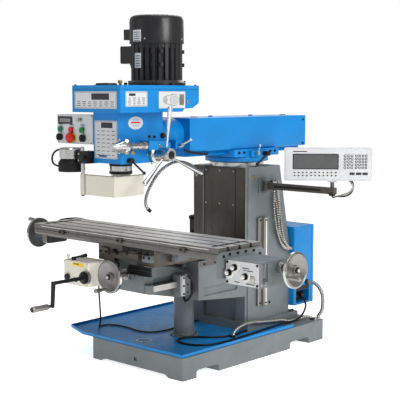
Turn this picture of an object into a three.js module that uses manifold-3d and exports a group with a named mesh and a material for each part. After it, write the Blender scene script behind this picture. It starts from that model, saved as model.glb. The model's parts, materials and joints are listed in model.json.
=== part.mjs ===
// Floor-standing ram-type milling and drilling machine with a vertical head, knee, saddle and table.
// Millimetres, +Z up. Work frame: X from the machine's centre plane to the operator's right,
// Y from the base's front edge towards the back, Z from the floor. The whole group is then
// moved by FRAME_X, FRAME_Y so that the origin is the bottom centre of the bounding box.
import * as THREE from 'three';
import { mergeVertices } from 'three/addons/utils/BufferGeometryUtils.js';
import Module from 'manifold-3d';

const wasm = await Module();
wasm.setup();

// ---- driving dimensions -------------------------------------------------------------
const FRAME_X = 81, FRAME_Y = 353.5;    // origin of the final frame in the work frame
const GAP = 0.3;                        // clearance between separate pieces
const BASE = { w: 326, l: 1154, top: 112 };
const WAY_Y = 630;                      // front face of the column's ways
const COL = { w: 189, front: 648, backTop: 915, backBottom: 1004, top: 984 };
const TURRET = { y: 775, r: 172, z0: 1010, z1: 1042, w: 148, top: 1076.7 };
const EAR_X = 170;                      // outer face of the turret's clamping ears
const RAM = { w: 120, y0: 272, y1: 1237, z0: 1077, z1: 1248 };
const TILT_Z = 1165;                    // height of the head's tilting axis
const SPINDLE = { y: -88, r: 24, nose: 48, z0: 962, z1: 985 };
const HEAD = { w: 89, y0: -187, y1: 117, z0: 1040, z1: 1281.7, side: 112 };
const BOX = { w: 172, y0: -247, y1: 290, z0: 1282, z1: 1409 };
const MOTOR = { y: 161, r: 127, cover: 134, z0: 1409.3, z1: 1613, top: 1750 };
const FEED = { y: 35, z: 1079, r: 34, x1: 222, lever: 205 };
const PANEL = { x0: -350, y0: -187, y1: -112, z0: 1126, z1: 1268 };
const GUARD = { x: -135, y: -212, right: 88, back: -20, z0: 884, z1: 984 };
const KNEE = { front: -40, wide: 190, narrow: 105, step: 260, back: 629.5, top: 545 };
const PEDESTAL = { y: 354, r: 55, z1: 330, bore: 21 };
const SADDLE = { w: 200, y0: -62, y1: 330, z1: 635.6 };
const TABLE = { w: 645, y0: -110, y1: 185, z0: 636, z1: 690 };
const SLOT = { half: 7, wide: 12.5, neck: 12, depth: 24, pitch: 80 };
const SCREW = { y: 40, z: 612 };        // axis of the table's two handwheels
const WHEEL_R = 80;
const CROSS_Z = 491;                    // axis of the cross handwheel
const CRANK = { x: -142, z: 474 };
const FEEDBOX_BACK = -66, FEEDBOX_TOP = 544;
const CABINET = { w: 225, y0: 1006, y1: 1164, door: 1188, z0: 196, z1: 637 };
const ARM = { x: 220, y: 762, z0: 858, z1: 908 };      // pivot of the readout's arm
const DRO = { x: 640, y: 764, z: 1018, left: 242, right: 195, h: 165, d: 50, yaw: 38 };

const COLOURS = {
  blue: 0x2b8fdc, castGrey: 0x7d8286, black: 0x17181a, steel: 0xb9bdc0, dark: 0x44403c,
  tableTop: 0xa8a49c, white: 0xd9dbda, beige: 0xd8d4c4, red: 0xc22222, green: 0x1f7a3a,
  guard: 0xd6d2c6, alloy: 0xc4c4c0, cable: 0x1c1c1e,
};

// ---- solid helpers ------------------------------------------------------------------
const rad = (deg) => (deg * Math.PI) / 180;
const move = (g, x, y, z) => g.translate(x, y, z);

/** Box from its lower to its upper corner. */
function box(x0, x1, y0, y1, z0, z1) {
  return move(new THREE.BoxGeometry(x1 - x0, y1 - y0, z1 - z0),
    (x0 + x1) / 2, (y0 + y1) / 2, (z0 + z1) / 2);
}

/** Rounded rectangle as a 2-D shape. */
function roundRect(u0, u1, v0, v1, r) {
  const s = new THREE.Shape();
  s.moveTo(u0 + r, v0);
  s.lineTo(u1 - r, v0).absarc(u1 - r, v0 + r, r, -Math.PI / 2, 0);
  s.lineTo(u1, v1 - r).absarc(u1 - r, v1 - r, r, 0, Math.PI / 2);
  s.lineTo(u0 + r, v1).absarc(u0 + r, v1 - r, r, Math.PI / 2, Math.PI);
  s.lineTo(u0, v0 + r).absarc(u0 + r, v0 + r, r, Math.PI, 1.5 * Math.PI);
  return s;
}
const polygon = (pts) => new THREE.Shape(pts.map(([u, v]) => new THREE.Vector2(u, v)));
const extrude = (shape, depth, seg = 3) =>
  new THREE.ExtrudeGeometry(shape, { depth, bevelEnabled: false, curveSegments: seg });

/** A plan shape (X, Y) raised from z0 to z1. */
const alongZ = (shape, z0, z1, seg) => move(extrude(shape, z1 - z0, seg), 0, 0, z0);
/** A front-view shape (X, Z) pushed from y0 to y1. */
const alongY = (shape, y0, y1, seg) =>
  move(extrude(shape, y1 - y0, seg).rotateX(Math.PI / 2), 0, y1, 0);
/** A side-view shape (Y, Z) pushed from x0 to x1. */
function alongX(shape, x0, x1, seg) {
  const g = extrude(shape, x1 - x0, seg);
  g.applyMatrix4(new THREE.Matrix4().set(0, 0, 1, 0, 1, 0, 0, 0, 0, 1, 0, 0, 0, 0, 0, 1));
  return move(g, x0, 0, 0);
}

/** Body of revolution from (radius, height) pairs; its axis is then laid along X, Y or Z. */
function turned(profile, axis = 'z', seg = 24) {
  const g = new THREE.LatheGeometry(profile.map(([r, h]) => new THREE.Vector2(r, h)), seg);
  if (axis === 'z') g.rotateX(Math.PI / 2);
  if (axis === 'x') g.rotateZ(-Math.PI / 2);
  return g;                             // 'y' keeps the lathe's own axis
}
const disc = (r, h0, h1, axis, seg) => turned([[0, h0], [r, h0], [r, h1], [0, h1]], axis, seg);

/** Round bar between two points, with its own radius at each end. */
function bar(a, b, ra, rb = ra, seg = 8) {
  const from = new THREE.Vector3(...a), to = new THREE.Vector3(...b);
  const g = turned([[0, 0], [ra, 0], [rb, from.distanceTo(to)], [0, from.distanceTo(to)]], 'y', seg);
  const turn = new THREE.Quaternion().setFromUnitVectors(new THREE.Vector3(0, 1, 0),
    to.clone().sub(from).normalize());
  return move(g.applyQuaternion(turn), ...a);
}
const ball = (c, r) => move(new THREE.SphereGeometry(r, 10, 6), ...c);

/** Round cord or hose through a list of points. */
function cord(points, r, steps, sides = 8) {
  const stations = points.map((p) => new THREE.Vector3(...p));
  const path = new THREE.CatmullRomCurve3(stations, false, 'centripetal');
  const ring = new THREE.Shape();
  for (let i = 0; i < sides; i++) {
    const a = (2 * Math.PI * i) / sides;
    i ? ring.lineTo(r * Math.cos(a), r * Math.sin(a)) : ring.moveTo(r, 0);
  }
  return new THREE.ExtrudeGeometry(ring, { steps, extrudePath: path, bevelEnabled: false });
}

function solid(geometry) {
  let g = geometry.clone();
  g.deleteAttribute('normal');
  g.deleteAttribute('uv');
  g = mergeVertices(g, 1e-4);
  return new wasm.Manifold(new wasm.Mesh({
    numProp: 3,
    vertProperties: new Float32Array(g.attributes.position.array),
    triVerts: new Uint32Array(g.index.array),
  }));
}
function surface(manifold) {
  const m = manifold.getMesh();
  const g = new THREE.BufferGeometry();
  g.setAttribute('position', new THREE.BufferAttribute(new Float32Array(m.vertProperties), 3));
  g.setIndex(new THREE.BufferAttribute(new Uint32Array(m.triVerts), 1));
  return g;
}
const join = (...gs) => surface(gs.map(solid).reduce((a, b) => a.add(b)));
const cut = (g, ...tools) => surface(tools.map(solid).reduce((a, b) => a.subtract(b), solid(g)));
const common = (a, b) => surface(solid(a).intersect(solid(b)));

const machine = new THREE.Group();
machine.name = 'milling_machine';
function add(name, geometry, colour, metalness = 0.2, roughness = 0.5) {
  const g = geometry.index ? geometry.toNonIndexed() : geometry;
  g.deleteAttribute('uv');
  g.computeVertexNormals();
  g.translate(-FRAME_X, -FRAME_Y, 0);
  const mesh = new THREE.Mesh(g,
    new THREE.MeshStandardMaterial({ color: COLOURS[colour], metalness, roughness }));
  mesh.name = name;
  machine.add(mesh);
}

// ---- base, tray and column ----------------------------------------------------------
function baseCasting() {
  const b = BASE;
  const body = alongZ(roundRect(-b.w, b.w, 0, b.l, 16), 0, b.top);
  const tunnel = (y0, y1) => alongX(roundRect(y0, y1, -30, 37, 14), -b.w - 5, b.w + 5);
  const frontArch = alongY(polygon([[-262, -5], [-240, 14], [205, 14], [240, -5]]), -5, 180);
  const well = move(disc(24, 20, b.top + 5, 'z', 24), 0, PEDESTAL.y, 0);
  const socket = box(-12, 12, -5, 8, 44, 62);
  return cut(body, tunnel(97, 262), tunnel(841, 1013), frontArch, well, socket);
}

function chipTray() {
  const t = 3, z0 = BASE.top + GAP, lip = 129;
  const outer = [[320, 3], [-400, 3], [-572, 70], [-585, 880], [320, 880]];
  // The inner outline runs past the outer one at the back, so that the tray is open there.
  const inner = [[317, 6], [-399.4, 6], [-569, 72.1], [-582, 890], [317, 890]];
  const pan = cut(alongZ(polygon(outer), z0, lip), alongZ(polygon(inner), z0 + t, lip + 5));
  const plinthHole = box(-214, 214, 618, 890, z0 - 5, lip + 5);
  const pedestalHole = move(disc(PEDESTAL.r + 1, z0 - 5, lip, 'z', 32), 0, PEDESTAL.y, 0);
  return cut(pan, plinthHole, pedestalHole);
}

function columnCasting() {
  const c = COL, arm = ARM, z0 = BASE.top + GAP;
  const side = polygon([[c.front, z0], [c.backBottom, z0], [1002, 560], [c.backTop, c.top],
    [c.front, c.top]]);
  const shaft = alongX(side, -c.w, c.w);
  const plinth = box(-210, 210, 622, 1062, z0, 158);
  const rightWay = [[112, c.front + 2], [118, WAY_Y], [184, WAY_Y], [184, c.front + 2]];
  const leftWay = rightWay.map(([x, y]) => [-x, y]).reverse();
  const ways = [rightWay, leftWay].map((outline) => alongZ(polygon(outline), 150, c.top));
  const recess = box(-70, 70, c.front - 5, c.front + 30, 330, 960);
  const bracket = box(c.w - 2, c.w + 8, arm.y - 34, arm.y + 34, arm.z0 - 12, arm.z1 + 12);
  const ears = [[arm.z0 - 12, arm.z0 - GAP], [arm.z1 + GAP, arm.z1 + 12]].map(([low, high]) =>
    alongZ(roundRect(c.w, arm.x + 18, arm.y - 18, arm.y + 18, 16), low, high));
  return cut(join(shaft, plinth, ...ways, bracket, ...ears), recess);
}

function screwPedestal() {
  const p = PEDESTAL, z0 = BASE.top + GAP;
  return move(turned([[p.bore, z0], [p.r, z0], [p.r, z0 + 14], [p.r - 2, z0 + 16],
    [p.r - 2, p.z1 - 12], [p.r - 8, p.z1], [p.bore, p.z1], [p.bore, z0]], 'z', 28), 0, p.y, 0);
}

function cabinetBody() {
  const c = CABINET;
  const shell = alongZ(roundRect(-c.w, c.w, c.y0, c.y1, 6), c.z0, c.z1);
  const recess = alongX(roundRect(1024, 1146, 206, 276, 8), c.w - 40, c.w + 5);
  const inside = box(-c.w + 15, c.w - 55, c.y0 + 20, c.y1 + 5, c.z0 + 15, c.z1 - 15);
  return cut(shell, recess, inside);
}

function zScale() {
  const x0 = COL.w + GAP;
  return join(box(x0, x0 + 14, 716, 752, 236, 712), box(x0 + 10, x0 + 24, 751, 792, 236, 712));
}

add('base_casting', baseCasting(), 'castGrey');
add('chip_tray', chipTray(), 'blue');
add('column', columnCasting(), 'castGrey');
add('column_cap_ring', move(turned([[90, 984.3], [148, 984.3], [148, 1004], [143, 1009.7],
  [90, 1009.7], [90, 984.3]], 'z', 32), 0, TURRET.y, 0), 'steel', 0.8, 0.35);
add('screw_pedestal', screwPedestal(), 'castGrey');
add('cabinet', cabinetBody(), 'blue');
add('cabinet_door', alongZ(roundRect(-CABINET.w, CABINET.w, CABINET.y1 + GAP, CABINET.door, 5),
  CABINET.z0, CABINET.z1), 'blue');
add('z_scale', zScale(), 'alloy', 0.7, 0.4);

// ---- turret, ram and head -----------------------------------------------------------
const dovetail = (half, grow, z0, z1) => polygon([[-half - grow + 14, z1], [-half - grow, z0],
  [half + grow, z0], [half + grow - 14, z1]]);

function turretBody() {
  const t = TURRET;
  const ring = turned([[0, t.z0], [t.r, t.z0], [t.r, t.z0 + 20], [t.r - 8, t.z1], [0, t.z1]],
    'z', 32);
  const saddle = alongZ(roundRect(-t.w, t.w, 588, 962, 10), t.z1 - 4, t.top);
  const ears = box(-EAR_X, EAR_X, 700, 840, t.z1 - 6, t.top - 6);
  const groove = alongY(dovetail(84, GAP, 1052 - GAP, 1090), 500, 1050);
  return cut(join(move(ring, 0, t.y, 0), saddle, ears), groove);
}

function ramBody() {
  const r = RAM;
  const beam = alongY(roundRect(-r.w, r.w, r.z0, r.z1, 8), r.y0, r.y1);
  const tongue = alongY(dovetail(84, 0, 1052, 1090), r.y0 + 8, r.y1 - 10);
  const knuckle = move(disc(82, 152, r.y0 + 5, 'y', 40), 0, 0, TILT_Z);
  const pad = box(50, 118, 172, 214, 1100, 1140);
  const bolts = [560, 890].map((y) => move(disc(11, r.z1 - 3, r.z1 + 7, 'z', 6), 0, y, 0));
  return join(beam, tongue, knuckle, pad, ...bolts);
}

function headCasting() {
  const h = HEAD;
  const upper = alongZ(roundRect(-h.w, h.w, h.y0, h.y1, 10), 1120, h.z1);
  const lower = alongZ(roundRect(-h.w, h.side, h.y0, 148, 10), h.z0, 1130);
  const flange = move(disc(80, 90, 151.7, 'y', 36), 0, 0, TILT_Z);
  const boss = box(h.side - 5, 176, -68, -6, 1104, 1148);
  const bore = move(disc(55.6, h.z0 - 5, h.z1 - 6, 'z', 28), 0, SPINDLE.y, 0);
  const step = box(h.w - 2, h.side, 20, 110, 1128, 1141);
  return cut(join(upper, lower, flange, boss, step), bore);
}

function gearHousing() {
  const b = BOX;
  const side = polygon([[b.y0, b.z0], [163, b.z0], [178, 1297], [235, 1299], [280, 1322],
    [b.y1, 1342], [b.y1, b.z1], [b.y0, b.z1]]);
  const body = common(alongX(side, -b.w, b.w),
    alongZ(roundRect(-b.w, b.w, b.y0, b.y1, 12), b.z0 - 5, b.z1 + 5));
  const seam = cut(box(-b.w - 5, b.w + 5, b.y0 - 5, b.y1 + 5, 1389, 1391),
    box(-b.w + 2, b.w - 2, b.y0 + 2, b.y1 - 2, 1380, 1400));
  const cap = move(turned([[0, b.z1 - 2], [50, b.z1 - 2], [50, b.z1 + 8], [46, b.z1 + 10],
    [0, b.z1 + 10]], 'z', 32), -34, -146, 0);
  return join(cut(body, seam), cap);
}

/** Outline of the finned barrel: each rib is narrower at its tip than at its root. */
function finOutline(root, tip, fins) {
  const shape = new THREE.Shape(), half = Math.PI / fins / 2.2;
  shape.moveTo(root, 0);
  for (let i = 0; i < fins; i++) {
    const middle = (2 * Math.PI * (i + 0.5)) / fins;
    const corners = [[root, -2 * half], [tip, -half], [tip, half], [root, 2 * half]];
    corners.forEach(([r, turn]) =>
      shape.lineTo(r * Math.cos(middle + turn), r * Math.sin(middle + turn)));
  }
  return shape;
}

function motorBody() {
  const m = MOTOR;
  const ribs = alongZ(finOutline(113, m.r, 24), m.z0 + 20, m.z1);
  const flange = turned([[0, m.z0], [143, m.z0], [143, m.z0 + 14], [128, m.z0 + 26],
    [0, m.z0 + 26]], 'z', 32);
  const endBell = disc(122, m.z1 - 22, m.z1, 'z', 24);
  return move(join(ribs, flange, endBell), 0, m.y, 0);
}

function fanCover() {
  const m = MOTOR, z0 = m.z1 + GAP;
  const shell = turned([[0, z0], [m.cover, z0], [m.cover, m.top - 22], [m.cover - 7, m.top - 7],
    [m.cover - 22, m.top], [0, m.top]], 'z', 32);
  return move(shell, 0, m.y, 0);
}

add('turret', turretBody(), 'blue');
add('ram', ramBody(), 'blue');
add('head_casting', headCasting(), 'blue');
add('gear_housing', gearHousing(), 'blue');
add('motor_body', motorBody(), 'black');
add('motor_fan_cover', fanCover(), 'black');
add('terminal_box', cut(box(-205, -112, 113, 209, 1520, 1606),
  move(disc(MOTOR.r + 0.8, 1500, 1620, 'z', 64), 0, MOTOR.y, 0)), 'black');

/** Clamp lever: a round boss on the X axis with an arm to a ball end. */
function clampLever(x0, x1, [y, z], r, [dy, dz], ballR) {
  const end = [x1 - 2, y + dy, z + dz];
  return join(move(disc(r, x0, x1, 'x', 20), 0, y, z), bar([x1 - 8, y, z], end, 5), ball(end, ballR));
}
add('turret_clamp_lever', clampLever(EAR_X + GAP, 206, [800, 1052], 13, [-95, -52], 10), 'black');
add('ram_clamp_lever', clampLever(EAR_X + GAP, 198, [726, 1056], 9, [8, 42], 8), 'steel', 0.9, 0.25);
add('head_clamp_lever', clampLever(118 + GAP, 146, [193, 1118], 11, [58, 24], 10), 'steel', 0.9, 0.25);

// ---- quill, spindle and feed --------------------------------------------------------
add('quill', move(turned([[24.4, 985.3], [50, 985.3], [54.5, 992], [54.5, 1200], [24.4, 1200],
  [24.4, 985.3]], 'z', 28), 0, SPINDLE.y, 0), 'steel', 0.9, 0.2);
add('spindle', move(turned([[0, 1030], [17, 1030], [18, SPINDLE.z0], [44, SPINDLE.z0],
  [SPINDLE.nose, SPINDLE.z0 + 4], [SPINDLE.nose, SPINDLE.z1], [SPINDLE.r, SPINDLE.z1],
  [SPINDLE.r, 1196], [0, 1196]], 'z', 24), 0, SPINDLE.y, 0), 'steel', 0.9, 0.2);

const feedProfile = [[0, HEAD.side + GAP], [44, HEAD.side + GAP], [44, 130], [FEED.r, 134],
  [FEED.r, 205], [30, FEED.x1], [0, FEED.x1]];
add('feed_hub', move(turned(feedProfile, 'x', 28), 0, FEED.y, FEED.z), 'steel', 0.85, 0.25);
[94, 214, 334].forEach((deg, i) => {
  const lean = rad(11), c = Math.cos(rad(deg)), s = Math.sin(rad(deg));
  const at = (d) => [184 + d * Math.sin(lean), FEED.y + d * Math.cos(lean) * c,
    FEED.z + d * Math.cos(lean) * s];
  add(`feed_handle_${i + 1}`, join(bar(at(FEED.r + 2.2), at(120), 6, 6.5),
    bar(at(108), at(FEED.lever + 24), 7, 12), ball(at(FEED.lever + 22), 12)), 'steel', 0.85, 0.25);
});

function fineFeedKnob() {
  const rings = turned([[0, -290], [12, -290], [16, -266], [33, -226], [33, -200], [20, -180],
    [17, -166], [17, -68 - GAP], [0, -68 - GAP]], 'y', 28);
  const lobes = [0, 1, 2, 3].map((i) => {
    const a = rad(45 + 90 * i);
    return bar([20 * Math.cos(a), -212, 20 * Math.sin(a)],
      [40 * Math.cos(a), -218, 40 * Math.sin(a)], 8, 10);
  });
  return move(join(rings, ...lobes), 154, 0, 1126);
}
add('fine_feed_knob', fineFeedKnob(), 'steel', 0.85, 0.25);
add('quill_lock_lever', clampLever(HEAD.side + GAP, 140, [-142, 1056], 13, [76, -62], 9), 'black');

// ---- control panel ------------------------------------------------------------------
const BUTTONS = [                       // name, x, z, colour
  ['start_button', -323, 1196, 'green'], ['stop_button', -242, 1194, 'red'],
  ['coolant_button', -161, 1194, 'green'],
];
const stemHole = (x, z, r = 6.6) => move(disc(r, PANEL.y0 - 5, PANEL.y0 + 14, 'y', 16), x, 0, z);
const STOP = { x: -243, z: 1155 };
const panelShell = alongY(roundRect(PANEL.x0, -HEAD.w - GAP, PANEL.z0, PANEL.z1, 5), PANEL.y0, PANEL.y1);
const panelHoles = BUTTONS.map(([, x, z]) => stemHole(x, z));
add('control_panel', cut(panelShell, ...panelHoles, stemHole(STOP.x, STOP.z, 9.6)), 'white');
for (const [name, x, z, colour] of BUTTONS) {
  add(name, move(join(disc(14, PANEL.y0 - 12, PANEL.y0 - 4, 'y', 24),
    disc(6, PANEL.y0 - 6, PANEL.y0 + 8, 'y', 16)), x, 0, z), colour);
}
add('emergency_stop', move(join(turned([[0, PANEL.y0 - 26], [20, PANEL.y0 - 24], [25, PANEL.y0 - 18],
  [25, PANEL.y0 - 12], [12, PANEL.y0 - 7], [0, PANEL.y0 - 7]], 'y', 28),
  disc(9, PANEL.y0 - 9, PANEL.y0 + 7, 'y', 20)), STOP.x, 0, STOP.z), 'red');
/** Panel knob with a raised pointer bar. */
const panelKnob = (r, h, x, z) => move(join(disc(r, PANEL.y0 - h, PANEL.y0 - GAP, 'y', 24),
  box(-4, 4, PANEL.y0 - h - 5, PANEL.y0 - h + 2, -r + 1, r - 1)), x, 0, z);
add('speed_knob', panelKnob(17, 17, -326, 1157), 'black');
add('selector_knob', panelKnob(18, 14, -156, 1155), 'black');
add('key_switch', panelKnob(10, 8, -184, 1242), 'steel', 0.9, 0.25);

// ---- splash guard and lamp ----------------------------------------------------------
add('guard_rod', join(box(-158, -HEAD.w - GAP, -226, -150, 1036, 1094),
  move(disc(8, 878, 1112, 'z', 20), GUARD.x, GUARD.y, 0)), 'black');

function splashGuard() {
  const g = GUARD, t = 4;
  const knuckle = turned([[8.4, g.z0], [13, g.z0], [13, g.z1], [8.4, g.z1], [8.4, g.z0]], 'z', 20);
  const front = box(g.x + 10, g.right, g.y - t / 2, g.y + t / 2, g.z0, g.z1);
  const side = box(g.right - t, g.right, g.y, g.back, g.z0, g.z1);
  return join(move(knuckle, g.x, g.y, 0), front, side);
}
add('splash_guard', splashGuard(), 'guard');

const LAMP = { x: -243, y: -190, z: 1070 };
function lampBody() {
  const fins = [];
  for (let i = 0; i < 4; i++) {
    const z = 1058 + 12 * i;
    fins.push([50, z], [58, z], [58, z + 7], [50, z + 7]);
  }
  const heatSink = turned([[0, 1055], [50, 1055], ...fins, [50, 1106], [0, 1106]], 'z', 24);
  return join(move(heatSink, LAMP.x, LAMP.y, 0),
    bar([LAMP.x + 40, LAMP.y, LAMP.z], [-158 - GAP, LAMP.y, LAMP.z], 9));
}
add('lamp_body', lampBody(), 'alloy', 0.8, 0.35);
add('lamp_bezel', move(turned([[0, 1000], [52, 1000], [55, 990], [64, 990], [64, 1036],
  [52, 1054.7], [0, 1054.7]], 'z', 28), LAMP.x, LAMP.y, 0), 'black');

// ---- knee, cross feed and elevating crank -------------------------------------------
function kneeCasting() {
  const k = KNEE;
  const front = alongX(polygon([[k.front, 402], [k.step + 20, 332], [k.step + 20, k.top],
    [k.front, k.top]]), -k.narrow, k.narrow);
  const rear = alongX(polygon([[k.step, 336], [k.back, 300], [k.back, k.top - 12],
    [k.step, k.top - 12]]), -k.wide, k.wide);
  const ways = alongY(dovetail(84, 0, k.top + 17, k.top - 5), k.front, k.back - 8);
  const boss = box(-222, -k.narrow + 5, FEEDBOX_BACK, 60, 438, 530);
  const hole = move(disc(PEDESTAL.r + 3, 250, 500, 'z', 32), 0, PEDESTAL.y, 0);
  const pocket = box(k.narrow - 14, k.narrow + 5, 20, 180, 420, 470);
  const sidePocket = box(k.wide - 10, k.wide + 5, 300, 560, 350, 395);
  return cut(join(front, rear, ways, boss), hole, pocket, sidePocket);
}

/** Dished handwheel on the given axis; `out` is +1 or -1, the way its face looks. */
function handwheel(axis, at, seat, face, out, handleDeg) {
  const R = WHEEL_R, s = out;
  const profile = [[0, seat], [24, seat], [24, seat + s * 26], [13, seat + s * 28],
    [13, face - s * 30], [24, face - s * 26], [R - 15, face - s * 15], [R, face - s * 17],
    [R, face - s * 2], [R - 8, face], [R - 14, face - s * 4], [22, face - s * 9], [20, face],
    [0, face]];
  const wheel = turned(s > 0 ? profile : profile.slice().reverse(), axis, 24);
  const a = rad(handleDeg), u = (R - 12) * Math.cos(a), v = (R - 12) * Math.sin(a);
  const tip = (d) => (axis === 'x' ? [face + s * d, u, v] : [u, face + s * d, v]);
  const handle = join(bar(tip(-6), tip(30), 6, 7), bar(tip(20), tip(60), 9, 11), ball(tip(58), 11));
  return move(join(wheel, handle), ...at);
}

function kneeCrank() {
  const { x, z } = CRANK, y0 = -190 - GAP, arm = -402;
  const low = z - 108;
  const hub = turned([[0, arm], [9, arm], [9, -222], [25, -220], [25, y0], [0, y0]], 'y', 24);
  return join(move(hub, x, 0, z), bar([x, arm + 4, z + 8], [x, arm - 4, low - 8], 11, 10),
    bar([x, arm, low], [x, arm - 34, low], 7), bar([x, arm - 30, low], [x, -530, low], 12, 13));
}

function powerFeedBox() {
  const body = alongZ(roundRect(-318, -128, -190, FEEDBOX_BACK - GAP, 10), 424, FEEDBOX_TOP);
  const stem = move(disc(6, FEEDBOX_TOP - 2, 562, 'z', 12), -300, -172, 0);
  const gland = bar([-275, FEEDBOX_BACK - 4, 470], [-275, -50, 470], 9, 7);
  return join(body, stem, ball([-300, -172, 564], 9), gland);
}

add('knee_casting', kneeCasting(), 'castGrey');
add('elevating_screw', move(disc(20, 175, 499.5, 'z', 24), 0, PEDESTAL.y, 0), 'steel', 0.85, 0.3);
add('cross_handwheel', handwheel('y', [0, 0, CROSS_Z], KNEE.front - GAP, -176, -1, -112),
  'steel', 0.7, 0.35);
add('power_feed_box', powerFeedBox(), 'beige');
add('power_feed_lever', join(move(disc(12, FEEDBOX_TOP + GAP, 560, 'z', 20), -262, -168, 0),
  bar([-262, -168, 556], [-214, -158, 568], 5, 6),
  bar([-216, -158, 567], [-186, -152, 575], 8, 10)), 'black');
add('knee_crank', kneeCrank(), 'black');

// ---- saddle and table ---------------------------------------------------------------
function saddleBody() {
  const s = SADDLE, z0 = KNEE.top + GAP;
  const body = alongZ(roundRect(-s.w, s.w, s.y0, s.y1, 8), z0, s.z1);
  const kneeWay = alongY(dovetail(84, GAP, KNEE.top + 17 + GAP, KNEE.top - 5), s.y0 - 5, s.y1 + 5);
  const tableWay = alongX(polygon([[-52, 660], [-38, 615.5], [118, 615.5], [132, 660]]),
    -s.w - 5, s.w + 5);
  const stop = box(52, 118, s.y0 - 30, s.y0 + 5, 574, 614);
  const wing = box(s.w - 30, s.w + 16, 40, 250, 560, 612);
  return cut(join(body, stop, wing), kneeWay, tableWay);
}

function tableBody() {
  const t = TABLE, mid = (t.y0 + t.y1) / 2;
  const plate = alongX(polygon([[t.y0, t.z0 + 8], [t.y0 + 8, t.z0], [t.y1 - 8, t.z0],
    [t.y1, t.z0 + 8], [t.y1, t.z1], [t.y0, t.z1]]), -t.w, t.w);
  const tongue = alongX(polygon([[-46, 640], [-36.5, 616], [116.5, 616], [126, 640]]),
    -t.w + 20, t.w - 20);
  const tSlots = [-1, 0, 1].flatMap((i) => {
    const y = mid + i * SLOT.pitch, z = t.z1 - SLOT.depth;
    return [box(-t.w - 5, t.w + 5, y - SLOT.half, y + SLOT.half, z + 2, t.z1 + 5),
      box(-t.w - 5, t.w + 5, y - SLOT.wide, y + SLOT.wide, z, t.z1 - SLOT.neck)];
  });
  const edgeSlot = box(-t.w - 5, t.w + 5, t.y0 - 5, t.y0 + 6, 660, 669);
  const bearing = alongX(roundRect(-32, 112, 572, 664, 16), -t.w - 30, -t.w + 2);
  const gutters = [-1, 1].map((side) => alongZ(roundRect(side * 588 - 14, side * 588 + 14,
    t.y0 + 26, t.y1 - 26, 12), t.z1 - 8, t.z1 + 5));
  return cut(join(plate, tongue, bearing), ...tSlots, edgeSlot, ...gutters);
}

add('saddle', saddleBody(), 'dark');
add('table', tableBody(), 'tableTop', 0.6, 0.4);
add('end_plate', alongX(polygon([[-118, 556], [-118, 660], [-104, 670], [170, 670], [198, 648],
  [198, 600], [160, 556]]), TABLE.w + GAP, 665), 'castGrey');
const PLATE_Y = -87;
add('feed_gearbox', join(alongZ(roundRect(665 + GAP, 863, PLATE_Y, 112, 8), 534, 645),
  box(863 - 5, 872, -40, 100, 560, 640)), 'castGrey');
const gearKnob = (x, z) => move(join(disc(15, PLATE_Y - 9, PLATE_Y - GAP, 'y', 24),
  box(-4.5, 4.5, PLATE_Y - 22, PLATE_Y - 7, -14, 14)), x, 0, z);
add('gear_knob_a', gearKnob(726, 614), 'black');
add('gear_knob_b', gearKnob(694, 588), 'black');
add('gear_knob_c', gearKnob(786, 580), 'black');
const SCREW_AXIS = [0, SCREW.y, SCREW.z];
add('left_handwheel', handwheel('x', SCREW_AXIS, -TABLE.w - 30 - GAP, -806, -1, 96), 'steel', 0.7, 0.35);
add('right_handwheel', handwheel('x', SCREW_AXIS, 872 + GAP, 968, 1, 200), 'steel', 0.7, 0.35);

// ---- digital readout ----------------------------------------------------------------
function readoutArm() {
  const { x, y, z0, z1 } = ARM;
  const hub = move(disc(18, z0, z1, 'z', 24), x, y, 0);
  const beam = alongX(roundRect(y - 14, y + 14, 866, 900, 3), x + 8, DRO.x + 20);
  return join(hub, beam, move(disc(10, 898, 926, 'z', 20), DRO.x, DRO.y, 0));
}
function readoutDisplay() {
  const d = DRO;
  const shell = alongY(roundRect(-d.left, d.right, -d.h / 2, d.h / 2, 8), -d.d / 2, d.d / 2);
  const lug = box(-22, 22, -14, 14, -d.h / 2 - 8, -d.h / 2 + 4);
  return move(join(shell, lug).rotateZ(rad(d.yaw)), d.x, d.y, d.z);
}
add('dro_arm', readoutArm(), 'dark');
add('dro_display', readoutDisplay(), 'white');

// ---- cords and hoses ----------------------------------------------------------------
const LIE = 121.2;                      // height of a cord's centre line on the tray
const POWER_CORD = [[-275, -49.6, 470], [-275, -28, 468], [-277, -4, 452], [-282, 12, 410], [-290, 22, 350],
  [-305, 40, 280], [-332, 68, 210], [-372, 100, 158], [-414, 132, 127], [-446, 168, LIE], [-436, 214, LIE],
  [-380, 240, LIE], [-300, 242, LIE], [-215, 228, LIE], [-150, 246, LIE], [-118, 310, LIE],
  [-120, 400, LIE], [-150, 500, LIE], [-148, 570, LIE], [-146, 621.6, LIE]];
const MAINS_CABLE = [[185.4, 1085, 236], [212, 1085, 235], [240, 1082, 222], [262, 1066, 192],
  [268, 1034, 156], [264, 990, 130], [256, 930, LIE], [250, 850, LIE], [256, 740, LIE], [266, 620, LIE],
  [275, 500, LIE], [279, 380, LIE], [262, 270, LIE], [206, 206, LIE], [130, 198, LIE], [76, 228, LIE],
  [70, 285, LIE], [104, 338, LIE], [160, 382, LIE], [204, 440, LIE], [216, 520, LIE], [206, 585, LIE],
  [206, 620.8, LIE]];
const coolantPipe = cord([[-138, 612, 925], [-131, 572, 975], [-100, 416, 1014], [-70, 288, 994],
  [-50, 209, 958], [-35, 151, 912], [-25, 113, 870], [-15, 92, 833], [-5, 90, 806], [4, 104, 788]], 7, 30);
add('coolant_hose', join(box(-158, -118, 603, 629.5, 880, 935), coolantPipe), 'steel', 0.8, 0.35);
add('scale_cables', cord([[208, 850, 905], [206, 858, 850], [205, 872, 760], [205, 884, 660],
  [205, 905, 590], [206, 950, 535], [207, 1001, 515]], 12, 14), 'steel', 0.6, 0.5);
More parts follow.
